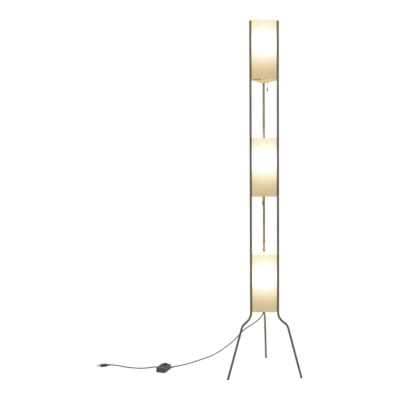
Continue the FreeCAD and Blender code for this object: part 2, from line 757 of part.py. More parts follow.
def rounded_block(width, length, low, high, corner):
    box = block(-width / 2, width / 2, -length / 2, length / 2, low, high)
    upright = [e for e in box.Edges if abs(e.tangentAt(e.FirstParameter).z) > 0.9]
    return box.makeFillet(corner, upright)


def edges_at(shape, z):
    return [e for e in shape.Edges if e.BoundBox.ZMin > z - 0.01 and e.BoundBox.ZMax < z + 0.01]


def boss_places():
    return [(x, y) for x in (-BOSS_X, BOSS_X) for y in BOSS_Y]


def case_half(low, high, flat_low, flat_high, boss_low):
    """One half of the case: its wall, its flat side, its bosses and a rounded outer edge."""
    inner_w = DIMMER_WIDTH - 2 * DIMMER_WALL
    inner_l = DIMMER_LENGTH - 2 * DIMMER_WALL
    body = rounded_block(DIMMER_WIDTH, DIMMER_LENGTH, low, high, DIMMER_CORNER_R)
    body = body.makeFillet(DIMMER_EDGE_R, edges_at(body, low if flat_low == low else high))
    hollow = rounded_block(inner_w, inner_l, low, high, DIMMER_CORNER_R - DIMMER_WALL)
    flat = rounded_block(inner_w, inner_l, flat_low, flat_high, DIMMER_CORNER_R - DIMMER_WALL)
    body = body.cut(hollow.cut(flat))
    for x, y in boss_places():
        body = body.fuse(rod(BOSS_R, high - low - DIMMER_WALL, vec(x, y, boss_low)))
    return body


def bush_holes():
    """The two wall holes for the cords' bushes: their centre lines start inside the case."""
    right = polar(1, RIGHT_BUSH_ANGLE)
    corner = vec(DIMMER_WIDTH / 2 - DIMMER_CORNER_R, DIMMER_LENGTH / 2 - DIMMER_CORNER_R, BUSH_Z)
    left_wall = vec(-DIMMER_WIDTH / 2, DIMMER_LENGTH / 2 - LEFT_BUSH_INSET, BUSH_Z)
    return {"right": (corner + right * DIMMER_CORNER_R, right), "left": (left_wall, vec(-1, 0))}


def make_dimmer_base():
    base = case_half(0, DIMMER_BASE_H, 0, DIMMER_WALL, DIMMER_WALL)
    for x, y in boss_places():
        base = base.cut(rod(CASE_SCREW_R + HOLE_CLEARANCE, DIMMER_BASE_H, vec(x, y, 0)))
        base = base.cut(rod(CASE_SCREW_HEAD_R + HOLE_CLEARANCE, CASE_SCREW_HEAD + 0.4, vec(x, y, 0)))
    for x in (-1, 1):
        for y in (-1, 1):
            spot = vec(x * BOARD_WIDTH * 0.38, y * BOARD_LENGTH * 0.4, DIMMER_WALL)
            base = base.fuse(rod(PEG_R, BOARD_Z - DIMMER_WALL, spot))
    for start, out in bush_holes().values():
        inside = start - out * (2 * DIMMER_WALL)
        base = base.cut(rod_between(BUSH_NECK_R + HOLE_CLEARANCE, inside, start + out * BUSH_OUT))
    keep("dimmer_base", at_dimmer(base))


def slot_ends():
    low = SLIDER_REST_Y - SLIDER_TRAVEL - STEM_LENGTH / 2 - 0.5
    return low, SLIDER_REST_Y + STEM_LENGTH / 2 + 0.5


def make_dimmer_top():
    roof_low = DIMMER_BASE_H + DIMMER_TOP_H - DIMMER_WALL - RECESS_DEPTH
    high = DIMMER_BASE_H + DIMMER_TOP_H
    top = case_half(DIMMER_BASE_H, high, roof_low, high, DIMMER_BASE_H)
    for x, y in boss_places():
        top = top.cut(rod(CASE_SCREW_R + HOLE_CLEARANCE, CASE_SCREW_LENGTH, vec(x, y, 0)))
    recess = rounded_block(RECESS_WIDTH, RECESS_LENGTH, high - RECESS_DEPTH, high + 1, RECESS_WIDTH * 0.45)
    low, far = slot_ends()
    recess.translate(vec(0, (low + far) / 2 - RECESS_SHIFT))
    slot = block(-SLOT_WIDTH / 2, SLOT_WIDTH / 2, low, far, DIMMER_BASE_H, high + 1)
    keep("dimmer_top", at_dimmer(top.cut(recess).cut(slot)))


def make_slider():
    """The thumb slide: a ribbed knob above the slot, its stem, and a foot under the roof."""
    floor = DIMMER_BASE_H + DIMMER_TOP_H - RECESS_DEPTH
    roof_low = floor - DIMMER_WALL
    low = floor + KNOB_GAP
    knob = rounded_block(KNOB_WIDTH, KNOB_LENGTH, low, low + KNOB_HEIGHT, 2.0)
    knob = knob.makeFillet(1.2, edges_at(knob, low + KNOB_HEIGHT))
    groove_floor = low + KNOB_HEIGHT - 0.6
    for y in (-2.4, 0.0, 2.4):
        knob = knob.cut(block(-KNOB_WIDTH, KNOB_WIDTH, y - 0.4, y + 0.4, groove_floor, 2 * groove_floor))
    foot_top = roof_low - KNOB_GAP
    half = STEM_WIDTH / 2
    stem = block(-half, half, -STEM_LENGTH / 2, STEM_LENGTH / 2, foot_top, low)
    foot = rounded_block(TRACK_WIDTH, STEM_LENGTH + 2, foot_top - SLIDER_FOOT, foot_top, 1.0)
    slider = knob.fuse(stem).fuse(foot)
    slider.translate(vec(0, SLIDER_REST_Y))
    keep("dimmer_slider", at_dimmer(slider))


def make_board():
    """The circuit board with its slide track, choke, capacitor and power switch."""
    top = BOARD_Z + BOARD
    half_l = BOARD_LENGTH / 2
    board = block(-BOARD_WIDTH / 2, BOARD_WIDTH / 2, -half_l, half_l, BOARD_Z, top)
    track_high = DIMMER_BASE_H + DIMMER_TOP_H - RECESS_DEPTH - DIMMER_WALL - KNOB_GAP - SLIDER_FOOT - 0.4
    middle = SLIDER_REST_Y - SLIDER_TRAVEL / 2
    half_t = TRACK_WIDTH / 2
    low_y = max(middle - TRACK_LENGTH / 2, -half_l)
    high_y = min(middle + TRACK_LENGTH / 2, half_l)
    board = board.fuse(block(-half_t, half_t, low_y, high_y, top, track_high))
    choke = rod(3.5, 12, vec(-BOARD_WIDTH / 2 + 4, 6, top + 3.5), vec(0, 1, 0))
    board = board.fuse(choke.common(block(-20, 20, -30, 30, top - 0.5, 30)))
    board = board.fuse(block(6.0, 11.5, -18, -6, top, top + 7))
    board = board.fuse(block(6.0, 9.0, 2, 12, top, top + 8.5))
    keep("dimmer_board", at_dimmer(board))


def make_case_screw(x, y):
    head_low = 0.4
    steps = [(CASE_SCREW_HEAD_R, head_low), (CASE_SCREW_HEAD_R, head_low + CASE_SCREW_HEAD - 0.1)]
    steps += [(CASE_SCREW_R, head_low + CASE_SCREW_HEAD - 0.1), (CASE_SCREW_R, CASE_SCREW_LENGTH - 1)]
    steps += [(0, CASE_SCREW_LENGTH)]
    screw = turned((0, head_low), steps, vec(x, y))
    slot = block(x - BOSS_R, x + BOSS_R, y - 0.4, y + 0.4, 0, head_low + 0.5)
    return screw.cut(slot)


def make_bushes():
    """The rubber reliefs at the two cords, each in its wall hole with a taper outside."""
    bushes = []
    for start, out in bush_holes().values():
        inside = start - out * (DIMMER_WALL + BUSH_IN)
        wall = start + out * 0.3
        tip = start + out * BUSH_OUT
        taper = cone_between(BUSH_WIDE_R, BUSH_NARROW_R, wall, tip)
        bushes.append(at_dimmer(rod_between(BUSH_NECK_R, inside, wall).fuse(taper)))
    keep("dimmer_bushes", *bushes)


def make_dimmer():
    make_dimmer_base()
    make_dimmer_top()
    make_slider()
    make_board()
    keep("dimmer_screws", *[at_dimmer(make_case_screw(x, y)) for x, y in boss_places()])
    make_bushes()


# ================================================================ plug and cords
def plug_frame(along, across, z=0.0):
    """A point of the plug's own frame: along is measured back from the tips of its blades."""
    back = polar(1, PLUG_HEADING + 180)
    return vec(PLUG_TIP_X, PLUG_TIP_Y, z) + back * along + polar(1, PLUG_HEADING + 90) * across


def at_plug(shape):
    shape.rotate(vec(0, 0), UP, PLUG_HEADING + 180)
    shape.translate(vec(PLUG_TIP_X, PLUG_TIP_Y))
    return shape


def make_plug():
    """A slim two-pin plug lying flat, drawn with its pins' tips at the origin and its cord on +X."""
    middle = PLUG_HEIGHT / 2
    face = BLADE_LENGTH
    back = BLADE_LENGTH + PLUG_LENGTH
    body = block(face, back, -PLUG_WIDTH / 2, PLUG_WIDTH / 2, 0, PLUG_HEIGHT)
    long_edges = [e for e in body.Edges if abs(e.tangentAt(e.FirstParameter).x) > 0.9]
    body = body.makeFillet(PLUG_CORNER_R, long_edges)
    nose_tip = vec(back + PLUG_NOSE, 0, middle)
    body = body.fuse(cone_between(PLUG_HEIGHT / 2 - 0.4, BUSH_NARROW_R, vec(back, 0, middle), nose_tip))
    blades = []
    for side in (-1, 1):
        y = side * BLADE_SPACING / 2
        half_t = BLADE_THICK / 2
        half_w = BLADE_WIDTH / 2
        root = face + BLADE_ROOT
        blades.append(at_plug(block(0, root, y - half_t, y + half_t, middle - half_w, middle + half_w)))
        half_t += HOLE_CLEARANCE / 2
        half_w += HOLE_CLEARANCE / 2
        slot = block(face - 1, root, y - half_t, y + half_t, middle - half_w, middle + half_w)
        body = body.cut(slot)
    keep("plug_body", at_plug(body))
    keep("plug_blades", *blades)


def lamp_cord_points():
    """The hanging cord's route from its sleeve to the floor and across it to the dimmer box."""
    start, out = bush_holes()["right"]
    end = start + out * (BUSH_OUT + CORD_END_GAP)
    floor = CORD_R + FLOOR_GAP
    route = [exit_point(EXIT_BOSS + RELIEF_LENGTH + CORD_END_GAP)]
    route += [vec(x, y, z) for x, y, z in HANGING_ROUTE]
    route += [vec(x, y, floor) for x, y in FLOOR_ROUTE]
    return route + [vec(*LAST_RISE), in_dimmer(end.x, end.y, end.z)]


def mains_cord_points():
    """The cord from the dimmer box across the floor to the plug."""
    start, out = bush_holes()["left"]
    first = start + out * (BUSH_OUT + CORD_END_GAP)
    floor = CORD_R + FLOOR_GAP
    route = [in_dimmer(first.x, first.y, first.z), vec(*MAINS_DROP)]
    route += [vec(x, y, floor) for x, y in MAINS_ROUTE]
    route.append(vec(*MAINS_RISE))
    end = plug_frame(BLADE_LENGTH + PLUG_LENGTH + PLUG_NOSE + CORD_END_GAP, 0, PLUG_HEIGHT / 2)
    return route + [end]


def make_cord(name, points):
    tube, length, radii = swept(points, cord_trims(points), CORD_R)
    keep(name, tube)
    section = math.pi * CORD_R ** 2
    print(name, "length", round(length, 1), "volume over section x length",
          round(tube.Volume / (section * length), 5))
    print(name, "smallest radii", [round(r, 1) for r in sorted(radii)[:4]])


# ================================================================ the whole lamp
def frame_shift():
    """Moves the middle of the standing lamp's box on the floor to the origin."""
    standing = [NODES[name] for name in ("left_post", "right_post", "rear_post", "foot_glides")]
    box = Part.makeCompound(standing).optimalBoundingBox(False, False)
    return vec(-box.Center.x, -box.Center.y)


def report(shift):
    """Prints the places that the draft record needs, after the move to the origin."""
    print("axis", round(shift.x, 3), round(shift.y, 3))
    for side in POST_ANGLES:
        foot = foot_centre(side) + shift
        print("foot", side, round(foot.x, 3), round(foot.y, 3))
    for name in SHADE_NAMES:
        pivot = pivot_point(name) + shift
        print("pivot", name, round(pivot.x, 3), round(pivot.y, 3), round(pivot.z, 3))
    exit_at = exit_point(EXIT_BOSS + RELIEF_LENGTH) + shift
    print("cord exit", round(exit_at.x, 3), round(exit_at.y, 3), round(exit_at.z, 3))


def main():
    os.makedirs("parts", exist_ok=True)
    make_frame()
    make_shades()
    make_sockets()
    make_wiring()
    make_relief()
    make_dimmer()
    make_plug()
    make_cord("lamp_cord", lamp_cord_points())
    make_cord("mains_cord", mains_cord_points())
    shift = frame_shift()
    report(shift)
    for name, shape in NODES.items():
        shape.translate(shift)
        if not shape.isValid():
            print("not valid:", name)
        shape.exportStep("parts/" + name + ".step")
    print(len(NODES), "nodes")


main()
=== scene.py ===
"""A floor lamp on three bent posts with three lit shades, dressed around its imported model.

Lengths are in metres unless a name ends in _mm.  Pieces are laid out from the lamp's axis, the
upright line midway between the posts, and are moved to where that axis stands in the model.
"""
from __future__ import annotations

import logging
import math
from dataclasses import dataclass, field
from enum import Enum

import bmesh
import bpy
import numpy as np
from mathutils import Matrix, Vector


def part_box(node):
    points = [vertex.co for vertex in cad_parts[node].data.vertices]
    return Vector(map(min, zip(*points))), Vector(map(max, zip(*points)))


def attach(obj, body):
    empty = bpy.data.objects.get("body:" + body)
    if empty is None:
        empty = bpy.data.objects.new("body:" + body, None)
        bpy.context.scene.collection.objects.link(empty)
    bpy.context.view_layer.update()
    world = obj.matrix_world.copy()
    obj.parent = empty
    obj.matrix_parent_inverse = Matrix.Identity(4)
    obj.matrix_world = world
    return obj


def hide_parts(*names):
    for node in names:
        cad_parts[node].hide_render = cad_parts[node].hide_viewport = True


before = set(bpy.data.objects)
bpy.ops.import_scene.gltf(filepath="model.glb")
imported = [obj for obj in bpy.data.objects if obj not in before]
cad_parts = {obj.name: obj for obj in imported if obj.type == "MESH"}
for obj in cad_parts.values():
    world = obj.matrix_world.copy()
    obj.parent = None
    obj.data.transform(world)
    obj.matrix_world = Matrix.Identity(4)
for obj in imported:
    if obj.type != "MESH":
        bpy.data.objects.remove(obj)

LOG = logging.getLogger("lamp")
MM = 0.001
SHARP_EDGE = math.radians(38)
MERGE = 2e-6
UPPER_TAB_DROP = 0.0025


class Level(Enum):
    """The three storeys of the lamp, each by the height of its shade's lower rim."""

    LOWER = 0.274
    MIDDLE = 0.774
    UPPER = 1.274

    @property
    def prefix(self) -> str:
        """The first word of this storey's node names."""
        return self.name.lower()


class Side(Enum):
    """The three posts, each by its compass angle from +X."""

    LEFT = 210.0
    RIGHT = 330.0
    REAR = 90.0

    @property
    def prefix(self) -> str:
        """The first word of this post's node names."""
        return self.name.lower()


# ================================================================ numbers and arrays
def linear(hex_colour: str) -> tuple[float, float, float, float]:
    """Turn an sRGB hex colour into linear light.

    Args:
        hex_colour: Six hex digits after a hash sign.

    Returns:
        Linear red, green and blue, with an alpha of 1.
    """
    parts = [int(hex_colour[i : i + 2], 16) / 255 for i in (1, 3, 5)]
    red, green, blue = (p / 12.92 if p <= 0.04045 else ((p + 0.055) / 1.055) ** 2.4 for p in parts)
    return red, green, blue, 1.0


def per_mm(size_mm: float) -> float:
    """The texture scale whose pattern repeats about every size_mm millimetres."""
    return 1.0 / (size_mm * MM)


def polar(radius: float | np.ndarray, degrees: float, height: float | np.ndarray = 0.0) -> np.ndarray:
    """A point, or a row of them, at a radius and compass angle from the lamp's axis."""
    angle = math.radians(degrees)
    radius, height = np.broadcast_arrays(np.asarray(radius, float), np.asarray(height, float))
    return np.stack([radius * math.cos(angle), radius * math.sin(angle), height], axis=-1)


def lamp_axis() -> np.ndarray:
    """Where the lamp's axis meets the floor, read from a round piece that stands on it."""
    low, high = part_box("upper_socket_cap")
    return np.array([(low.x + high.x) / 2, (low.y + high.y) / 2, 0.0])


def arc(centre: tuple[float, float], radius: float, start: float, end: float, count: int) -> np.ndarray:
    """Points on a circle's arc.

    Args:
        centre: The circle's centre in the plane.
        radius: The circle's radius.
        start: First angle in radians.
        end: Last angle in radians.
        count: How many points.

    Returns:
        An array of shape (count, 2): centre plus radius times (cosine, sine) of the angles.
    """
    angles = np.linspace(start, end, count)
    return np.stack([centre[0] + radius * np.cos(angles), centre[1] + radius * np.sin(angles)], axis=-1)


def basis(direction: np.ndarray) -> tuple[np.ndarray, np.ndarray, np.ndarray]:
    """Two unit vectors across a direction, and the direction's own unit vector."""
    along = direction / np.linalg.norm(direction)
    helper = np.array([0.0, 0.0, 1.0]) if abs(along[2]) < 0.9 else np.array([1.0, 0.0, 0.0])
    first = np.cross(helper, along)
    first /= np.linalg.norm(first)
    return first, np.cross(along, first), along


# ================================================================ meshes
def surface(
    name: str,
    grid: np.ndarray,
    loop_rows: bool = False,
    loop_columns: bool = True,
    capped: bool = False,
    values: dict[str, np.ndarray] | None = None,
) -> bpy.types.Object:
    """Make an object from a grid of points, with a UV map in metres and smooth shading.

    Each face joins the points (i, j), (i, j+1), (i+1, j+1) and (i+1, j).  The UV map runs along
    the rows' and columns' mean lengths, so that a pattern keeps its real size.

    Args:
        name: The object's name.
        grid: Points of shape (rows, columns, 3).
        loop_rows: Join the last row to the first.
        loop_columns: Join the last column to the first.
        capped: Close the first and last rows with one face each.
        values: Named numbers per point, of shape (rows, columns), kept as attributes.

    Returns:
        The new object, linked to the scene.
    """
    rows, columns = grid.shape[:2]
    index = np.arange(rows * columns).reshape(rows, columns)
    steps = np.arange(rows)[:, None] + np.zeros(columns, int)
    turns = np.arange(columns)[None, :] + np.zeros((rows, 1), int)
    last_row = rows if loop_rows else rows - 1
    last_column = columns if loop_columns else columns - 1
    row_at, column_at = steps[:last_row, :last_column], turns[:last_row, :last_column]
    corners = [(0, 0), (0, 1), (1, 1), (1, 0)]
    faces = np.stack([index[(row_at + r) % rows, (column_at + c) % columns] for r, c in corners], axis=-1)
    row_step = np.linalg.norm(np.diff(grid, axis=0), axis=-1).mean()
    column_step = np.linalg.norm(np.diff(grid, axis=1), axis=-1).mean()
    uv = np.stack(
        [np.stack([(column_at + c) * column_step, (row_at + r) * row_step], axis=-1) for r, c in corners],
        axis=2,
    )
    polygons = faces.reshape(-1, 4).tolist()
    if capped:
        polygons += [index[0][::-1].tolist(), index[-1].tolist()]
    mesh = bpy.data.meshes.new(name)
    mesh.from_pydata(grid.reshape(-1, 3), [], polygons)
    layer = mesh.uv_layers.new(name="UVMap")
    flat = np.zeros((len(mesh.loops), 2), np.float32)
    flat[: faces.size] = uv.reshape(-1, 2)
    layer.data.foreach_set("uv", flat.ravel())
    for key, numbers in (values or {}).items():
        attribute = mesh.attributes.new(key, "FLOAT", "POINT")
        attribute.data.foreach_set("value", np.asarray(numbers, np.float32).ravel())
    finish_mesh(mesh)
    return link(name, mesh)


def finish_mesh(mesh: bpy.types.Mesh, turn_out: bool = True) -> None:
    """Close a mesh's seams and poles, turn its faces outwards and shade it smooth.

    Args:
        mesh: The mesh to finish in place.
        turn_out: Recalculate the faces' normals, which a copy of a solid doesn't need.
    """
    work = bmesh.new()
    work.from_mesh(mesh)
    bmesh.ops.remove_doubles(work, verts=work.verts, dist=MERGE)
    if turn_out:
        bmesh.ops.recalc_face_normals(work, faces=work.faces)
    work.to_mesh(mesh)
    work.free()
    mesh.shade_smooth()
    mesh.set_sharp_from_angle(angle=SHARP_EDGE)


def link(name: str, data: bpy.types.ID) -> bpy.types.Object:
    """Make an object at the origin for some data and put it in the scene."""
    made = bpy.data.objects.new(name, data)
    bpy.context.scene.collection.objects.link(made)
    return made


def turned(
    name: str, profile: np.ndarray, base: np.ndarray, direction: tuple[float, float, float] = (0, 0, 1),
    segments: int = 40,
) -> bpy.types.Object:
    """Make a turned piece: the profile spun round a line.

    Point (i, j) is base + height i along the line + radius i times the j-th direction round it.

    Args:
        name: The object's name.
        profile: Rows of (radius, height) in metres; a radius of 0 closes to a pole.
        base: The point where height is 0.
        direction: The way that height runs.
        segments: How many steps round.

    Returns:
        The new object.
    """
    across, up, along = basis(np.asarray(direction, float))
    angles = np.linspace(0, 2 * math.pi, segments, endpoint=False)
    round_it = np.cos(angles)[:, None] * across + np.sin(angles)[:, None] * up
    grid = base + profile[:, 1, None, None] * along + profile[:, 0, None, None] * round_it[None]
    return surface(name, grid)


def solid_copy(name: str, node: str) -> bpy.types.Object:
    """Copy a CAD solid's mesh, join its loose triangles and shade its curves smooth."""
    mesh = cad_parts[node].data.copy()
    mesh.name = name
    mesh.materials.clear()
    finish_mesh(mesh, turn_out=False)
    return link(name, mesh)


def place(piece: bpy.types.Object, finish: "Finish", body: str, *nodes: str) -> bpy.types.Object:
    """Give a piece its finish, let it ride on its body and stand for its CAD nodes.

    Args:
        piece: The piece, already where it belongs.
        finish: What it is made of.
        body: The body that it moves with.
        nodes: The CAD nodes that it stands for.

    Returns:
        The same piece.
    """
    piece.data.materials.clear()
    piece.data.materials.append(finish.material())
    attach(piece, body)
    if nodes:
        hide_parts(*nodes)
    LOG.info("%s rides on %s", piece.name, body)
    return piece


def dress(node: str, finish: "Finish") -> None:
    """Give a CAD node that stays as it is a better material."""
    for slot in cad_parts[node].material_slots:
        slot.material = finish.material()


# ================================================================ finishes
def add(
    tree: bpy.types.NodeTree,
    kind: str,
    inputs: dict[str | int, object] | None = None,
    stops: list[tuple[float, str]] | None = None,
    **settings: object,
) -> bpy.types.Node:
    """Add a shader node with its settings, and set or link its inputs.

    Args:
        tree: The material's node tree.
        kind: The node's type.
        inputs: Values or sockets by input name or number.
        stops: For a colour ramp, its (position, hex colour) stops.
        settings: The node's own properties.

    Returns:
        The new node.
    """
    node = tree.nodes.new(kind)
    for key, value in settings.items():
        setattr(node, key, value)
    if stops:
        ramp = node.color_ramp.elements
        while len(ramp) < len(stops):
            ramp.new(0.5)
        for element, (position, colour) in zip(ramp, stops):
            element.position = position
            element.color = linear(colour)
    for key, value in (inputs or {}).items():
        if isinstance(value, bpy.types.NodeSocket):
            tree.links.new(value, node.inputs[key])
        else:
            node.inputs[key].default_value = value
    return node


@dataclass(frozen=True)
class Finish:
    """What every finish has: its name, the record's slot, and its plain shader values."""

    name: str
    slot: str
    colour: str = "#808080"
    roughness: float = 0.5
    metallic: float = 0.0

    def material(self) -> bpy.types.Material:
        """Make the material on first use, and give the same one after that."""
        known = bpy.data.materials.get(self.name)
        if known:
            return known
        made = bpy.data.materials.new(self.name)
        made.use_nodes = True
        tree = made.node_tree
        tree.nodes.clear()
        shader = add(tree, "ShaderNodeBsdfPrincipled", {
            "Base Color": linear(self.colour), "Roughness": self.roughness, "Metallic": self.metallic,
        })
        add(tree, "ShaderNodeOutputMaterial", {"Surface": shader.outputs["BSDF"]})
        place_at = add(tree, "ShaderNodeTexCoord").outputs["Object"]
        self.detail(tree, shader, place_at)
        return made

    def detail(
        self, tree: bpy.types.NodeTree, shader: bpy.types.Node, place_at: bpy.types.NodeSocket
    ) -> None:
        """Add what makes the finish more than one flat colour; each finish has its own."""

    def bump(
        self, tree: bpy.types.NodeTree, shader: bpy.types.Node, height: bpy.types.NodeSocket,
        depth_mm: float, strength: float = 0.5,
    ) -> None:
        """Raise the surface by a pattern, depth_mm deep where the pattern is 1."""
        raised = add(tree, "ShaderNodeBump", {
            "Height": height, "Distance": depth_mm * MM, "Strength": strength,
        })
        tree.links.new(raised.outputs["Normal"], shader.inputs["Normal"])


@dataclass(frozen=True)
class BronzeLacquer(Finish):
    """Bronze-toned lacquer on drawn steel tube.

    Brown with a dull metal sheen: darker blotches where hands and age have been, a little
    golden where it is worn, and hair-fine draw lines along the tube.
    """

    dark: str = "#514a3e"
    pale: str = "#6c6252"
    blotch_mm: float = 45.0
    line_mm: float = 0.7
    line_length_mm: float = 60.0

    def detail(
        self, tree: bpy.types.NodeTree, shader: bpy.types.Node, place_at: bpy.types.NodeSocket
    ) -> None:
        """Blotches from soft noise, and draw lines from noise stretched along the post."""
        blotches = add(tree, "ShaderNodeTexNoise", {
            "Vector": place_at, "Scale": per_mm(self.blotch_mm), "Detail": 5.0, "Roughness": 0.62,
        })
        tone = add(tree, "ShaderNodeValToRGB", {"Fac": blotches.outputs["Fac"]},
                   stops=[(0.32, self.dark), (0.52, self.colour), (0.74, self.pale)])
        tree.links.new(tone.outputs["Color"], shader.inputs["Base Color"])
        stretch = self.line_mm / self.line_length_mm
        drawn = add(tree, "ShaderNodeMapping", {"Vector": place_at, "Scale": (1.0, 1.0, stretch)})
        lines = add(tree, "ShaderNodeTexNoise", {
            "Vector": drawn.outputs["Vector"], "Scale": per_mm(self.line_mm), "Detail": 2.0,
        })
        sheen = add(tree, "ShaderNodeMapRange", {
            "Value": lines.outputs["Fac"], "From Min": 0.3, "From Max": 0.7,
            "To Min": self.roughness - 0.07, "To Max": self.roughness + 0.09,
        })
        tree.links.new(sheen.outputs["Result"], shader.inputs["Roughness"])
        self.bump(tree, shader, lines.outputs["Fac"], 0.008, 0.3)


@dataclass(frozen=True)
class FibreSheet(Finish):
    """Translucent sheet of glass fibre in resin, rolled and lit from inside.

    Ivory, with a fine tangle of fibres that shows as a soft mottle.  Near the bulb it glows to
    white; away from it the glow sinks to a warm parchment.  The glow is a number kept on the
    sheet's own points, so it stays on the sheet from every side.
    """

    fibre_mm: float = 1.6
    fibre_length_mm: float = 22.0
    cloud_mm: float = 38.0
    dim: str = "#b5a37c"
    low: str = "#c8b58d"
    warm: str = "#e6dbbb"
    bright: str = "#eeecdd"
    hottest: str = "#fcfbf8"
    excess: float = 0.3
    excess_from: float = 0.5

    def detail(
        self, tree: bpy.types.NodeTree, shader: bpy.types.Node, place_at: bpy.types.NodeSocket
    ) -> None:
        """Two crossing sets of fibres and soft clouds, over a glow that a ramp turns to light."""
        across = add(tree, "ShaderNodeUVMap", uv_map="UVMap").outputs["UV"]
        sets = []
        for turn in (0.5, -0.7):
            laid = add(tree, "ShaderNodeMapping", {
                "Vector": across, "Rotation": (0.0, 0.0, turn),
                "Scale": (1.0, self.fibre_mm / self.fibre_length_mm, 1.0),
            })
            sets.append(add(tree, "ShaderNodeTexNoise", {
                "Vector": laid.outputs["Vector"], "Scale": per_mm(self.fibre_mm), "Detail": 2.5,
                "Roughness": 0.55,
            }, noise_dimensions="2D"))
        fibres = add(tree, "ShaderNodeMath", {
            0: sets[0].outputs["Fac"], 1: sets[1].outputs["Fac"],
        }, operation="MULTIPLY")
        clouds = add(tree, "ShaderNodeTexNoise", {
            "Vector": place_at, "Scale": per_mm(self.cloud_mm), "Detail": 3.0,
        })
        mottle = add(tree, "ShaderNodeMapRange", {
            "Value": fibres.outputs["Value"], "From Min": 0.12, "From Max": 0.4,
            "To Min": 0.95, "To Max": 1.04,
        })
        drift = add(tree, "ShaderNodeMapRange", {
            "Value": clouds.outputs["Fac"], "From Min": 0.3, "From Max": 0.7,
            "To Min": 0.975, "To Max": 1.025,
        })
        both = add(tree, "ShaderNodeMath", {
            0: mottle.outputs["Result"], 1: drift.outputs["Result"],
        }, operation="MULTIPLY")
        glow = add(tree, "ShaderNodeAttribute", attribute_name="glow")
        light = add(tree, "ShaderNodeValToRGB", {"Fac": glow.outputs["Fac"]}, stops=[
            (0.0, self.dim), (0.1, self.low), (0.36, self.warm), (0.62, self.bright), (1.0, self.hottest),
        ])
        shone = add(tree, "ShaderNodeVectorMath", {
            0: light.outputs["Color"], "Scale": both.outputs["Value"],
        }, operation="SCALE")
        body = add(tree, "ShaderNodeVectorMath", {
            0: linear(self.colour)[:3], "Scale": both.outputs["Value"],
        }, operation="SCALE")
        tree.links.new(body.outputs["Vector"], shader.inputs["Base Color"])
        tree.links.new(shone.outputs["Vector"], shader.inputs["Emission Color"])
        gain = add(tree, "ShaderNodeMapRange", {
            "Value": glow.outputs["Fac"], "From Min": self.excess_from, "From Max": 1.0,
            "To Min": 1.0, "To Max": 1.0 + self.excess,
        }, interpolation_type="SMOOTHSTEP")
        tree.links.new(gain.outputs["Result"], shader.inputs["Emission Strength"])
        self.bump(tree, shader, fibres.outputs["Value"], 0.08, 0.35)


@dataclass(frozen=True)
class SpunMetal(Finish):
    """Brass, nickel or steel that was turned or spun, so fine rings run round it."""

    ring_mm: float = 0.35
    stain_mm: float = 9.0
    stain: str = "#5a4c34"

    def detail(
        self, tree: bpy.types.NodeTree, shader: bpy.types.Node, place_at: bpy.types.NodeSocket
    ) -> None:
        """Rings from noise squeezed along the height, stains from soft noise."""
        rings_at = add(tree, "ShaderNodeMapping", {"Vector": place_at, "Scale": (0.05, 0.05, 1.0)})
        rings = add(tree, "ShaderNodeTexNoise", {
            "Vector": rings_at.outputs["Vector"], "Scale": per_mm(self.ring_mm), "Detail": 2.0,
        })
        stains = add(tree, "ShaderNodeTexNoise", {
            "Vector": place_at, "Scale": per_mm(self.stain_mm), "Detail": 4.0,
        })
        tone = add(tree, "ShaderNodeValToRGB", {"Fac": stains.outputs["Fac"]},
                   stops=[(0.25, self.stain), (0.5, self.colour), (1.0, self.colour)])
        tree.links.new(tone.outputs["Color"], shader.inputs["Base Color"])
        sheen = add(tree, "ShaderNodeMapRange", {
            "Value": rings.outputs["Fac"], "To Min": self.roughness - 0.06, "To Max": self.roughness + 0.1,
        })
        tree.links.new(sheen.outputs["Result"], shader.inputs["Roughness"])
        self.bump(tree, shader, rings.outputs["Fac"], 0.01)


@dataclass(frozen=True)
class Moulded(Finish):
    """Plastic, rubber or ceramic from a mould, with the mould's fine grain and light handling marks."""

    grain_mm: float = 0.5
    grain_depth_mm: float = 0.03
    mark_mm: float = 14.0
    marked: str = "#4c463d"

    def detail(
        self, tree: bpy.types.NodeTree, shader: bpy.types.Node, place_at: bpy.types.NodeSocket
    ) -> None:
        """Grain from a cell pattern, marks and dust from soft noise."""
        grain = add(tree, "ShaderNodeTexVoronoi", {
            "Vector": place_at, "Scale": per_mm(self.grain_mm), "Randomness": 1.0,
        })
        marks = add(tree, "ShaderNodeTexNoise", {
            "Vector": place_at, "Scale": per_mm(self.mark_mm), "Detail": 6.0, "Roughness": 0.65,
        })
        tone = add(tree, "ShaderNodeValToRGB", {"Fac": marks.outputs["Fac"]},
                   stops=[(0.0, self.colour), (0.55, self.colour), (0.8, self.marked)])
        tree.links.new(tone.outputs["Color"], shader.inputs["Base Color"])
        sheen = add(tree, "ShaderNodeMapRange", {
            "Value": marks.outputs["Fac"], "From Min": 0.3, "From Max": 0.7,
            "To Min": self.roughness - 0.08, "To Max": self.roughness + 0.08,
        })
        tree.links.new(sheen.outputs["Result"], shader.inputs["Roughness"])
        self.bump(tree, shader, grain.outputs["Distance"], self.grain_depth_mm, 0.4)


@dataclass(frozen=True)
class LitGlass(Finish):
    """Frosted glass envelope with its lamp on: etched white glass that glows evenly."""

    shine: str = "#eaf1ff"
    strength: float = 90.0
    frost_mm: float = 0.4

    def detail(
        self, tree: bpy.types.NodeTree, shader: bpy.types.Node, place_at: bpy.types.NodeSocket
    ) -> None:
        """The etch shows only as a fine unevenness of the gloss."""
        frost = add(tree, "ShaderNodeTexNoise", {"Vector": place_at, "Scale": per_mm(self.frost_mm)})
        shader.inputs["Emission Color"].default_value = linear(self.shine)
        shader.inputs["Emission Strength"].default_value = self.strength
        self.bump(tree, shader, frost.outputs["Fac"], 0.01, 0.3)


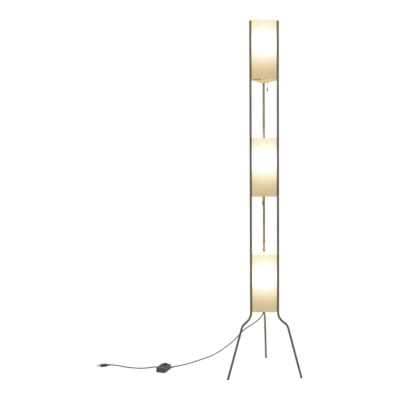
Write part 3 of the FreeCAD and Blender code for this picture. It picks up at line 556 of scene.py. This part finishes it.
@dataclass(frozen=True)
class CordJacket(Finish):
    """Soft vinyl jacket of a round cord: dark brown, low sheen, lightly dusty."""

    dusty: str = "#5d565a"
    dust_mm: float = 7.0

    def detail(
        self, tree: bpy.types.NodeTree, shader: bpy.types.Node, place_at: bpy.types.NodeSocket
    ) -> None:
        """Dust and scuffs from noise a few cord widths long."""
        dust = add(tree, "ShaderNodeTexNoise", {
            "Vector": place_at, "Scale": per_mm(self.dust_mm), "Detail": 5.0, "Roughness": 0.6,
        })
        tone = add(tree, "ShaderNodeValToRGB", {"Fac": dust.outputs["Fac"]},
                   stops=[(0.4, self.colour), (0.75, self.dusty)])
        tree.links.new(tone.outputs["Color"], shader.inputs["Base Color"])
        self.bump(tree, shader, dust.outputs["Fac"], 0.05, 0.3)


BRONZE = BronzeLacquer("bronze_lacquer_on_tube", "post", "#5f5748", 0.36, 0.55)
# The rear post has the same lacquer with painted light: its colours are made paler and more golden
# than on the front posts to stand for the open shades' light falling on it.
REAR_LACQUER_WITH_PAINTED_LIGHT = BronzeLacquer(
    "bronze_lacquer_with_painted_spill_light", "post", "#7a6946", 0.38, 0.3, dark="#6a5b3c", pale="#8b7955"
)
ARM_BRONZE = BronzeLacquer("bronze_lacquer_on_arm", "arm", "#5f5546", 0.4, 0.8, blotch_mm=18.0)
GLIDE = Moulded("foot_plug_plastic", "glide", "#2c241f", 0.5)
SHEET = FibreSheet("lit_fibre_sheet", "shade", "#67593f", 0.6)
FIXING = Moulded("ivory_enamel_screw", "fixing", "#d9c9a2", 0.35, grain_depth_mm=0.005, marked="#c9b88e")
NIPPLE = SpunMetal("steel_nipple", "nipple", "#8c8c8a", 0.4, 1.0, stain="#4b4844")
SOCKET = SpunMetal("spun_brass", "socket_brass", "#c39f5c", 0.3, 1.0)
PORCELAIN = Moulded("unglazed_porcelain", "socket_core", "#d4cfc2", 0.6, marked="#bdb5a4")
CONTACT = SpunMetal("bright_brass", "contact", "#cdae6b", 0.25, 1.0)
PENDANT = SpunMetal("worn_nickel_pendant", "chain", "#8f867b", 0.4, 1.0, stain="#5f564c")
# The joint strip's dark brown is painted shade, standing for the shadow in the lap at the rim.
JOINT_STRIP_PAINTED_SHADE = Moulded("joint_strip_in_painted_shade", "shade", "#5b3d2c", 0.7, marked="#6b4a36")
NICKEL = SpunMetal("dull_nickel", "chain", "#b9b1a8", 0.33, 1.0, stain="#857c73")
BULB = LitGlass("frosted_bulb_glass", "bulb_glass", "#fff6e4", 0.4)
BULB_CAP = SpunMetal("drawn_aluminium", "bulb_base", "#bfbfbd", 0.35, 1.0, stain="#8f8f8d")
WIRE = Moulded("wire_insulation", "wire", "#3a2f27", 0.5)
JACKET = CordJacket("vinyl_cord_jacket", "cord", "#1f1b1c", 0.55, dusty="#322d2f")
SLEEVE = Moulded("soft_rubber", "relief", "#2a2624", 0.62)
CASE = Moulded("textured_case_plastic", "case", "#3b3c35", 0.5, marked="#54504a")
KNOB = Moulded("polished_knob_plastic", "knob", "#5f5252", 0.32, grain_depth_mm=0.01, marked="#756867")
BOARD = Moulded("resin_board", "board", "#2f5f3a", 0.45, marked="#3d6b45")
CASE_SCREW = SpunMetal("zinc_steel", "case_screw", "#8f9090", 0.35, 1.0, stain="#666462")
PLUG = Moulded("moulded_vinyl_plug", "plug", "#332d2e", 0.5, marked="#4a4446")
BLADE = SpunMetal("nickel_plated_blade", "blade", "#cfccc6", 0.26, 1.0, stain="#a9a59d")


# ================================================================ posts
@dataclass
class Post:
    """One post: a straight tube that bends out at the bottom into its leg."""

    side: Side
    leg_reach: float
    leg_turn_degrees: float
    ring_radius: float = 0.0675
    tube_radius: float = 0.00475
    top: float = 1.521
    shoulder_height: float = 0.2477
    shoulder_bend: float = 0.045
    knee: tuple[float, float] = (0.0448, 0.2195)
    knee_bend: float = 0.036
    plug_length: float = 0.008

    def centre_line(self) -> np.ndarray:
        """The tube's bent line in its own plane.

        Each corner is rounded by an arc that touches both of its straight runs, so the bend
        starts its radius times the tangent of half the turn before the corner.

        Returns:
            Points of (distance out from the post, height), from the top to the foot plug.
        """
        corners = np.array([(0.0, self.top), (0.0, self.shoulder_height), self.knee, (self.leg_reach, 0.0)])
        slope = (corners[3] - corners[2]) / np.linalg.norm(corners[3] - corners[2])
        corners[3] -= slope * self.plug_length
        line = [np.linspace(corners[0], corners[1] + (0.0, 0.06), 24)]
        for place_in, radius in ((1, self.shoulder_bend), (2, self.knee_bend)):
            before, corner, after = corners[place_in - 1 : place_in + 2]
            back = (before - corner) / np.linalg.norm(before - corner)
            onward = (after - corner) / np.linalg.norm(after - corner)
            half_turn = (math.pi - math.acos(float(back @ onward))) / 2
            inward = (back + onward) / np.linalg.norm(back + onward)
            centre = corner + inward * radius / math.cos(half_turn)
            tangent = radius * math.tan(half_turn)
            first, last = corner + back * tangent, corner + onward * tangent
            start = math.atan2(*(first - centre)[::-1])
            end = math.atan2(*(last - centre)[::-1])
            end = start + (end - start + math.pi) % (2 * math.pi) - math.pi
            line.append(arc(tuple(centre), radius, start, end, 18))
        line.append(np.linspace(line[-1][-1], corners[3], 12)[1:])
        return np.concatenate(line)

    def build(self, axis: np.ndarray) -> bpy.types.Object:
        """Sweep a ring along the bent line and close both ends.

        Point (i, j) is the line's point i plus the tube's radius times (cosine j along the
        line's normal in its plane + sine j straight across the plane).

        Args:
            axis: The lamp's axis on the floor.

        Returns:
            The dressed post.
        """
        line = self.centre_line()
        heading = np.gradient(line, axis=0)
        heading /= np.linalg.norm(heading, axis=1, keepdims=True)
        out = polar(1.0, self.side.value + self.leg_turn_degrees)
        across = np.cross((0, 0, 1), out)
        upright = np.array([0.0, 0.0, 1.0])
        foot = axis + polar(self.ring_radius, self.side.value)
        centre = foot + line[:, :1] * out + line[:, 1:] * upright
        normal = -heading[:, 1:] * out + heading[:, :1] * upright
        angles = np.linspace(0, 2 * math.pi, 28, endpoint=False)
        ring = np.cos(angles)[None, :, None] * normal[:, None] + np.sin(angles)[None, :, None] * across
        grid = centre[:, None] + self.tube_radius * ring
        name = self.side.prefix + "_post"
        # The rear post's finish has the open shades' light painted into its colour.
        finish = REAR_LACQUER_WITH_PAINTED_LIGHT if self.side is Side.REAR else BRONZE
        return place(surface(name + "_tube", grid, capped=True), finish, "lamp", name)


@dataclass
class Stand:
    """The three posts with their caps and foot plugs."""

    reaches: dict[Side, float] = field(
        default_factory=lambda: {Side.LEFT: 0.119, Side.RIGHT: 0.110, Side.REAR: 0.121}
    )
    turns: dict[Side, float] = field(
        default_factory=lambda: {Side.LEFT: 3.5, Side.RIGHT: 2.5, Side.REAR: -5.0}
    )

    def build(self, axis: np.ndarray) -> None:
        """Build the posts, and dress the caps and plugs that stay as solids."""
        for side in Side:
            Post(side, self.reaches[side], self.turns[side]).build(axis)
        place(solid_copy("post_end_caps", "post_caps"), BRONZE, "lamp", "post_caps")
        place(solid_copy("foot_plugs", "foot_glides"), GLIDE, "lamp", "foot_glides")


# ================================================================ shades
@dataclass
class Shade:
    """One lit shade: a rolled sheet in the shape of a soft three-cornered tube."""

    level: Level
    apex: float = 0.06245
    corner_radius: float = 0.025
    face_dip: float = 0.005225
    height: float = 0.250
    thickness: float = 0.0008
    tab_width: float = 0.038
    tab_height: float = 0.015
    tab_drop: float = 0.0
    tab_from_post: float = 0.0095
    tab_in_front_of: float = -0.02
    bulb_height: float = 0.147
    reach_up: float = 0.105
    reach_down: float = 0.072
    near_radius: float = 0.038
    corner_beyond: float = 0.024
    corner_loss: float = 0.16

    def outline(self, per_arc: int = 26) -> tuple[np.ndarray, np.ndarray]:
        """The outer line of the section, and the way out of it at each point.

        Three corner arcs of one radius are joined by three hollow arcs of a larger one that
        touch them, so the line has no kink.

        Args:
            per_arc: Points on each of the six arcs.

        Returns:
            The points and their outward unit normals, each of shape (6 * per_arc, 2).
        """
        corner_at = self.apex - self.corner_radius
        half = corner_at * math.sin(math.pi / 3)
        depth = self.corner_radius - self.face_dip
        face_radius = (depth**2 + half**2 - self.corner_radius**2) / (2 * self.face_dip)
        face_at = corner_at / 2 + depth + face_radius
        lean = math.atan2(half, face_at - corner_at / 2)
        points, normals = [], []
        for corner in (90.0, 210.0, 330.0):
            middle = math.radians(corner)
            swing = math.pi / 3 + lean
            angles = np.linspace(middle - swing, middle + swing, per_arc, endpoint=False)
            out = np.stack([np.cos(angles), np.sin(angles)], axis=-1)
            centre = corner_at * np.array([math.cos(middle), math.sin(middle)])
            points.append(centre + self.corner_radius * out)
            normals.append(out)
            facing = middle + math.pi / 3
            angles = facing + math.pi + np.linspace(lean, -lean, per_arc, endpoint=False)
            out = np.stack([np.cos(angles), np.sin(angles)], axis=-1)
            centre = face_at * np.array([math.cos(facing), math.sin(facing)])
            points.append(centre + face_radius * out)
            normals.append(-out)
        return np.concatenate(points), np.concatenate(normals)

    def glow(self, points: np.ndarray) -> np.ndarray:
        """How strongly the sheet is lit, from 0 to 1.

        A bell curve of the height away from the bulb, wider above than below, where the socket
        shades the sheet, and a little stronger where the face comes nearer to the bulb.

        Args:
            points: Points from the lamp's axis, with height above the lower rim.

        Returns:
            One number per point.
        """
        away = points[..., 2] - self.bulb_height
        reach = np.where(away > 0, self.reach_up, self.reach_down)
        from_axis = np.hypot(points[..., 0], points[..., 1])
        nearness = 1.0 - self.corner_loss * (from_axis - self.near_radius) / self.corner_beyond
        return np.clip(np.exp(-((away / reach) ** 2)) * nearness, 0.0, 1.0)

    def wall(self) -> np.ndarray:
        """The sheet's own section, as closed rows of (depth in from the outer face, height)."""
        half = self.thickness / 2
        up = np.linspace(half, self.height - half, 44)
        over = arc((half, self.height - half), half, math.pi, 0, 7)[1:-1]
        under = arc((half, half), half, 2 * math.pi, math.pi, 7)[1:-1]
        outer = np.stack([np.zeros_like(up), up], axis=-1)
        inner = np.stack([np.full_like(up, self.thickness), up[::-1]], axis=-1)
        return np.concatenate([outer, over, inner, under])

    def sheet(self, name: str, axis: np.ndarray) -> bpy.types.Object:
        """The outline carried along the wall: point (i, j) is outline j moved in by depth i."""
        outline, normals = self.outline()
        wall = self.wall()
        flat = outline[None] - normals[None] * wall[:, 0, None, None]
        height = np.broadcast_to(wall[:, 1, None, None], (*flat.shape[:2], 1))
        local = np.concatenate([flat, height], axis=-1)
        grid = local + axis + (0, 0, self.level.value)
        return surface(name, grid, loop_rows=True, values={"glow": self.glow(local)})

    def tab(self, name: str, axis: np.ndarray) -> bpy.types.Object:
        """The joint's strip inside the front left of the rim.

        Row i is a flat rectangle at outline point i, from one sheet's thickness inside the
        outer face to two, and as tall as the strip.
        """
        outline, normals = self.outline(80)
        left_edge = self.post_x() + self.tab_from_post
        right_edge = left_edge + self.tab_width
        chosen = (outline[:, 0] > left_edge) & (outline[:, 0] < right_edge)
        chosen &= outline[:, 1] < self.tab_in_front_of
        outline, normals = outline[chosen], normals[chosen]
        low = -self.tab_drop
        inset = np.array([self.thickness, 2 * self.thickness, 2 * self.thickness, self.thickness])
        height = np.array([low, low, low + self.tab_height, low + self.tab_height])
        flat = outline[:, None] - normals[:, None] * inset[None, :, None]
        upright = np.broadcast_to(height[None, :, None], (len(outline), 4, 1))
        local = np.concatenate([flat, upright], axis=-1)
        return surface(name, local + axis + (0, 0, self.level.value), capped=True)

    def post_x(self) -> float:
        """How far left the left post stands."""
        return Post.ring_radius * math.cos(math.radians(Side.LEFT.value))

    def build(self, axis: np.ndarray) -> None:
        """Build the sheet and its joint strip, and dress the screws."""
        node = self.level.prefix + "_shade"
        place(self.sheet(node + "_sheet", axis), SHEET, "lamp", node)
        # The strip's dark finish is painted shade for the shadow in the lap.
        place(self.tab(node + "_joint_strip", axis), JOINT_STRIP_PAINTED_SHADE, "lamp")
        screws = node + "_screws"
        place(solid_copy(screws + "_turned", screws), FIXING, "lamp", screws)


# ================================================================ sockets, bulbs and chains
@dataclass
class SocketSet:
    """What one shade hides: the arm, the socket, the bulb and the pull chain."""

    level: Level
    chain_turn_degrees: float
    pendant_below_rim: float
    arm_above_rim: float = 0.020
    chain_offset: float = 0.026
    chain_top: float = 0.0256
    bead_radius: float = 0.0012
    bead_pitch: float = 0.0032
    bead_link_radius: float = 0.00045
    rows_per_bead: int = 12
    pendant_length: float = 0.021
    pendant_radius: float = 0.00275
    bulb_radius: float = 0.030
    bulb_tip: float = 0.1563
    neck_radius: float = 0.012
    neck_low: float = 0.068
    shoulder_radius: float = 0.030

    def origin(self, axis: np.ndarray) -> np.ndarray:
        """The point on the lamp's axis at the height of the arm."""
        return axis + (0, 0, self.level.value + self.arm_above_rim)

    def chain_line(self, axis: np.ndarray, height: float) -> np.ndarray:
        """The point of the chain's upright line at a height above the floor."""
        return axis + polar(self.chain_offset, -90.0 + self.chain_turn_degrees, height)

    def bulb_profile(self) -> np.ndarray:
        """Half of the bulb's outline: a ball, a hollow shoulder that touches it, and a straight neck."""
        centre = self.bulb_tip - self.bulb_radius
        across = self.neck_radius + self.shoulder_radius
        drop = math.sqrt((self.bulb_radius + self.shoulder_radius) ** 2 - across**2)
        lean = math.atan2(drop, across)
        ball = arc((0.0, centre), self.bulb_radius, math.pi / 2, -lean, 36)
        hollow = arc((across, centre - drop), self.shoulder_radius, math.pi - lean, math.pi, 12)[1:]
        return np.concatenate([ball, hollow, [(self.neck_radius, self.neck_low)], [(0.0, self.neck_low)]])

    def beads_profile(self, drop: float) -> np.ndarray:
        """Half of the bead chain's outline.

        The radius at a depth is the ball's own circle round the nearest bead's centre, and the
        thin link's radius between two balls.

        Args:
            drop: The chain's length from its top bead to the pendant.

        Returns:
            Rows of (radius, height), downwards from the top bead.
        """
        count = round(drop / self.bead_pitch)
        pitch = drop / count
        depth = np.linspace(-self.bead_radius, drop, count * self.rows_per_bead)
        nearest = depth - np.round(depth / pitch) * pitch
        ball = np.sqrt(np.clip(self.bead_radius**2 - nearest**2, 0.0, None))
        radius = np.maximum(ball, self.bead_link_radius)
        radius[0] = 0.0
        return np.concatenate([np.stack([radius, -depth], axis=-1), [(0.0, -drop)]])

    def pendant_profile(self) -> np.ndarray:
        """Half of the pendant's outline: collar, waist, swelling body with two rings, round end."""
        share = np.array([
            0, 0, 0.05, 0.08, 0.13, 0.22, 0.34, 0.48, 0.60,
            0.62, 0.64, 0.68, 0.70, 0.72, 0.86, 0.95, 1.0, 1.0,
        ])
        width = np.array([
            0, 0.5, 0.55, 0.42, 0.42, 0.62, 0.86, 0.98, 1.0,
            0.88, 1.0, 1.0, 0.88, 1.0, 0.96, 0.78, 0.45, 0,
        ])
        return np.stack([width * self.pendant_radius, -share * self.pendant_length], axis=-1)

    def build(self, axis: np.ndarray) -> None:
        """Build and dress every piece of the set."""
        name = self.level.prefix
        origin = self.origin(axis)
        bulb = turned(name + "_bulb_envelope", self.bulb_profile(), origin)
        place(bulb, BULB, "lamp", name + "_bulb_glass")
        for part, finish in (
            ("bulb_base", BULB_CAP), ("socket_arm", ARM_BRONZE), ("socket_cap", SOCKET),
            ("socket_shell", SOCKET), ("chain_guide", NICKEL),
        ):
            node = f"{name}_{part}"
            place(solid_copy(node + "_smooth", node), finish, "lamp", node)
        link_name = name + "_pull_link"
        place(solid_copy(link_name + "_smooth", link_name), NICKEL, name + "_pull", link_name)
        dress(name + "_socket_nipple", NIPPLE)
        dress(name + "_socket_core", PORCELAIN)
        dress(name + "_contact_shell", CONTACT)
        self.chain(axis)

    def chain(self, axis: np.ndarray) -> None:
        """Build the bead chain and its pendant, which swing together."""
        name = self.level.prefix
        top = self.level.value + self.arm_above_rim + self.chain_top
        low = self.level.value - self.pendant_below_rim + self.pendant_length
        start, end = self.chain_line(axis, top), self.chain_line(axis, low)
        beads = turned(name + "_beads", self.beads_profile(top - low), start, segments=12)
        place(beads, NICKEL, name + "_chain", name + "_bead_chain")
        drop = turned(name + "_pendant_turned", self.pendant_profile(), end, segments=28)
        place(drop, PENDANT, name + "_chain", name + "_chain_pendant")


# ================================================================ cords, dimmer box and plug
@dataclass
class FreeCord:
    """One stretch of round cord along a route of points measured from the lamp's axis."""

    name: str
    node: str
    route: list[tuple[float, float, float]]
    length: float
    far_end: str
    lay: str
    radius: float = 0.00225

    def build(self, axis: np.ndarray, pieces: list[bpy.types.Object]) -> bpy.types.Object:
        """Lay a smooth spline with the route's points as its control points.

        Args:
            axis: The lamp's axis on the floor.
            pieces: Not used.

        Returns:
            The dressed cord.
        """
        curve = bpy.data.curves.new(self.name, "CURVE")
        curve.dimensions = "3D"
        spline = curve.splines.new("NURBS")
        spline.points.add(len(self.route) - 1)
        controls = np.ones((len(self.route), 4))
        controls[:, :3] = np.array(self.route) + axis
        spline.points.foreach_set("co", controls.ravel())
        spline.order_u = 3
        spline.use_endpoint_u = True
        spline.resolution_u = 16
        curve.bevel_depth = self.radius
        curve.bevel_resolution = 6
        curve.use_fill_caps = True
        cord = place(link(self.name, curve), JACKET, "lamp", self.node)
        return cord


@dataclass
class Leads:
    """The two cords, the dimmer box between them, and the plug."""

    hanging: list[tuple[float, float, float]] = field(default_factory=lambda: [
        (-0.00303, 0.035, 0.26516), (-0.0047, 0.036, 0.2505), (-0.0126, 0.0436, 0.2342),
        (-0.0315, 0.059, 0.2106), (-0.0625, 0.0845, 0.183), (-0.096, 0.113, 0.154),
        (-0.119, 0.134, 0.121), (-0.15, 0.1635, 0.083), (-0.188, 0.198, 0.045),
        (-0.221, 0.222, 0.016), (-0.251, 0.214, 0.0023), (-0.277, 0.184, 0.0023),
        (-0.308, 0.1485, 0.0023), (-0.341, 0.113, 0.0023), (-0.367, 0.0915, 0.0023),
        (-0.3855, 0.0775, 0.0023), (-0.3965, 0.069, 0.0036), (-0.40585, 0.06115, 0.005),
    ])
    onward: list[tuple[float, float, float]] = field(default_factory=lambda: [
        (-0.48228, 0.0575, 0.005), (-0.4945, 0.061, 0.0036), (-0.5095, 0.0602, 0.0023),
        (-0.529, 0.0522, 0.0023), (-0.552, 0.0484, 0.0023), (-0.577, 0.0526, 0.0023),
        (-0.604, 0.0586, 0.0023), (-0.63, 0.069, 0.0023), (-0.652, 0.0814, 0.0023),
        (-0.671, 0.0902, 0.0023), (-0.6854, 0.0933, 0.0036), (-0.69794, 0.09127, 0.005),
    ])
    hanging_length: float = 0.635
    onward_length: float = 0.226

    def build(self, axis: np.ndarray) -> None:
        """Build the box and plug first, then the two cords."""
        place(solid_copy("dimmer_case_top", "dimmer_top"), CASE, "lamp", "dimmer_top")
        place(solid_copy("dimmer_case_base", "dimmer_base"), CASE, "lamp", "dimmer_base")
        place(solid_copy("dimmer_thumb_slide", "dimmer_slider"), KNOB, "dimmer_slide", "dimmer_slider")
        place(solid_copy("dimmer_cord_bushes", "dimmer_bushes"), SLEEVE, "lamp", "dimmer_bushes")
        place(solid_copy("dimmer_case_screws", "dimmer_screws"), CASE_SCREW, "lamp", "dimmer_screws")
        dress("dimmer_board", BOARD)
        plug = [
            place(solid_copy("plug_moulding", "plug_body"), PLUG, "lamp", "plug_body"),
            place(solid_copy("plug_pins", "plug_blades"), BLADE, "lamp", "plug_blades"),
        ]
        place(solid_copy("cord_sleeve", "cord_relief"), SLEEVE, "lamp", "cord_relief")
        dress("wiring", WIRE)
        hanging = FreeCord(
            "hanging_cord", "lamp_cord", self.hanging, self.hanging_length, far_end="object", lay="hanging"
        )
        hanging.build(axis, [])
        onward = FreeCord(
            "second_cord", "mains_cord", self.onward, self.onward_length, far_end="plug", lay="loose"
        )
        onward.build(axis, plug)


# ================================================================ studio
@dataclass
class Studio:
    """The pale floor, the soft light and the camera."""

    lens_mm: float = 50.0
    sideways_shift: float = -0.16
    camera_from_axis: tuple[float, float, float] = (-0.0480, -2.4214, 0.8537)
    look_right: float = 0.0194
    look_down: float = 0.0395
    lean: float = -0.0022
    floor_reach: float = 12.0
    floor_colour: str = "#f2f2f2"
    floor_share: float = 0.9
    floor_glow: float = 1.04
    sky_strength: float = 0.78
    key_power: float = 26.0

    def seen_rays(self, tree: bpy.types.NodeTree) -> bpy.types.NodeSocket:
        """1 for rays from the camera and for mirrored or refracted ones, 0 for light that fills."""
        path = add(tree, "ShaderNodeLightPath")
        seen = add(tree, "ShaderNodeMath", {
            0: path.outputs["Is Camera Ray"], 1: path.outputs["Is Glossy Ray"],
        }, operation="MAXIMUM")
        return add(tree, "ShaderNodeMath", {
            0: seen.outputs["Value"], 1: path.outputs["Is Transmission Ray"],
        }, operation="MAXIMUM").outputs["Value"]

    def floor(self) -> bpy.types.Object:
        """A wide flat plane whose grid rises nowhere: height is 0 at every point."""
        span = np.linspace(-self.floor_reach, self.floor_reach, 9)
        across, along = np.meshgrid(span, span)
        grid = np.stack([across, along, np.zeros_like(across)], axis=-1)
        plane = surface("studio_floor", grid, loop_columns=False)
        paper = bpy.data.materials.new("white_paper_floor")
        paper.use_nodes = True
        tree = paper.node_tree
        tree.nodes.clear()
        matt = add(tree, "ShaderNodeBsdfDiffuse", {"Color": linear(self.floor_colour)})
        white = add(tree, "ShaderNodeEmission", {"Color": linear("#ffffff"), "Strength": self.floor_glow})
        share = add(tree, "ShaderNodeMath", {
            0: self.seen_rays(tree), 1: self.floor_share,
        }, operation="MULTIPLY")
        both = add(tree, "ShaderNodeMixShader", {
            0: share.outputs["Value"], 1: matt.outputs["BSDF"], 2: white.outputs["Emission"],
        })
        add(tree, "ShaderNodeOutputMaterial", {"Surface": both.outputs["Shader"]})
        plane.data.materials.append(paper)
        return plane

    def sky(self) -> None:
        """A plain pale surround: softer on the object than the white that the camera sees."""
        world = bpy.data.worlds.new("pale_studio")
        bpy.context.scene.world = world
        world.use_nodes = True
        tree = world.node_tree
        tree.nodes.clear()
        fill = add(tree, "ShaderNodeBackground", {"Color": linear("#ffffff"), "Strength": self.sky_strength})
        backdrop = add(tree, "ShaderNodeBackground", {"Color": linear("#ffffff"), "Strength": 1.0})
        both = add(tree, "ShaderNodeMixShader", {
            0: self.seen_rays(tree), 1: fill.outputs["Background"], 2: backdrop.outputs["Background"],
        })
        add(tree, "ShaderNodeOutputWorld", {"Surface": both.outputs["Shader"]})

    def lamp(self, name: str, place_at: tuple[float, float, float], size: float, power: float) -> None:
        """A square soft box that looks at the middle of the lamp."""
        light = bpy.data.lights.new(name, "AREA")
        light.size = size
        light.energy = power
        made = link(name, light)
        made.location = place_at
        made.rotation_mode = "QUATERNION"
        made.rotation_quaternion = (Vector((0, 0, 0.75)) - Vector(place_at)).to_track_quat("-Z", "Y")

    def camera(self, axis: np.ndarray) -> None:
        """The photograph's camera: about 2.4 m away at 0.85 m, looking slightly down."""
        data = bpy.data.cameras.new("photo_camera")
        data.lens = self.lens_mm
        data.shift_x = self.sideways_shift
        data.clip_start = 0.05
        data.clip_end = 60.0
        made = link("photo_camera", data)
        turn = Matrix.Rotation(-self.look_right, 4, "Z")
        tilt = Matrix.Rotation(math.pi / 2 - self.look_down, 4, "X")
        roll = Matrix.Rotation(self.lean, 4, "Z")
        spot = Vector(axis + np.array(self.camera_from_axis))
        made.matrix_world = Matrix.Translation(spot) @ turn @ tilt @ roll
        bpy.context.scene.camera = made

    def build(self, axis: np.ndarray) -> None:
        """Set up the studio and the view."""
        self.floor()
        self.sky()
        self.lamp("soft_key", (-2.2, -2.6, 2.9), 2.4, self.key_power)
        self.lamp("soft_fill", (2.6, -1.2, 2.2), 2.0, self.key_power * 0.4)
        self.camera(axis)
        bpy.context.scene.view_settings.view_transform = "Standard"


def main() -> None:
    """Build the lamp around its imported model."""
    logging.basicConfig(level=logging.INFO, format="%(message)s")
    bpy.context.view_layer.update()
    axis = lamp_axis()
    Studio().build(axis)
    Leads().build(axis)
    Stand().build(axis)
    for level in Level:
        Shade(level, tab_drop=UPPER_TAB_DROP if level is Level.UPPER else 0.0).build(axis)
    SocketSet(Level.LOWER, chain_turn_degrees=3.3, pendant_below_rim=0.044).build(axis)
    SocketSet(Level.MIDDLE, chain_turn_degrees=-16.0, pendant_below_rim=0.038).build(axis)
    SocketSet(Level.UPPER, chain_turn_degrees=32.0, pendant_below_rim=0.050).build(axis)


if __name__ == "__main__":
    main()
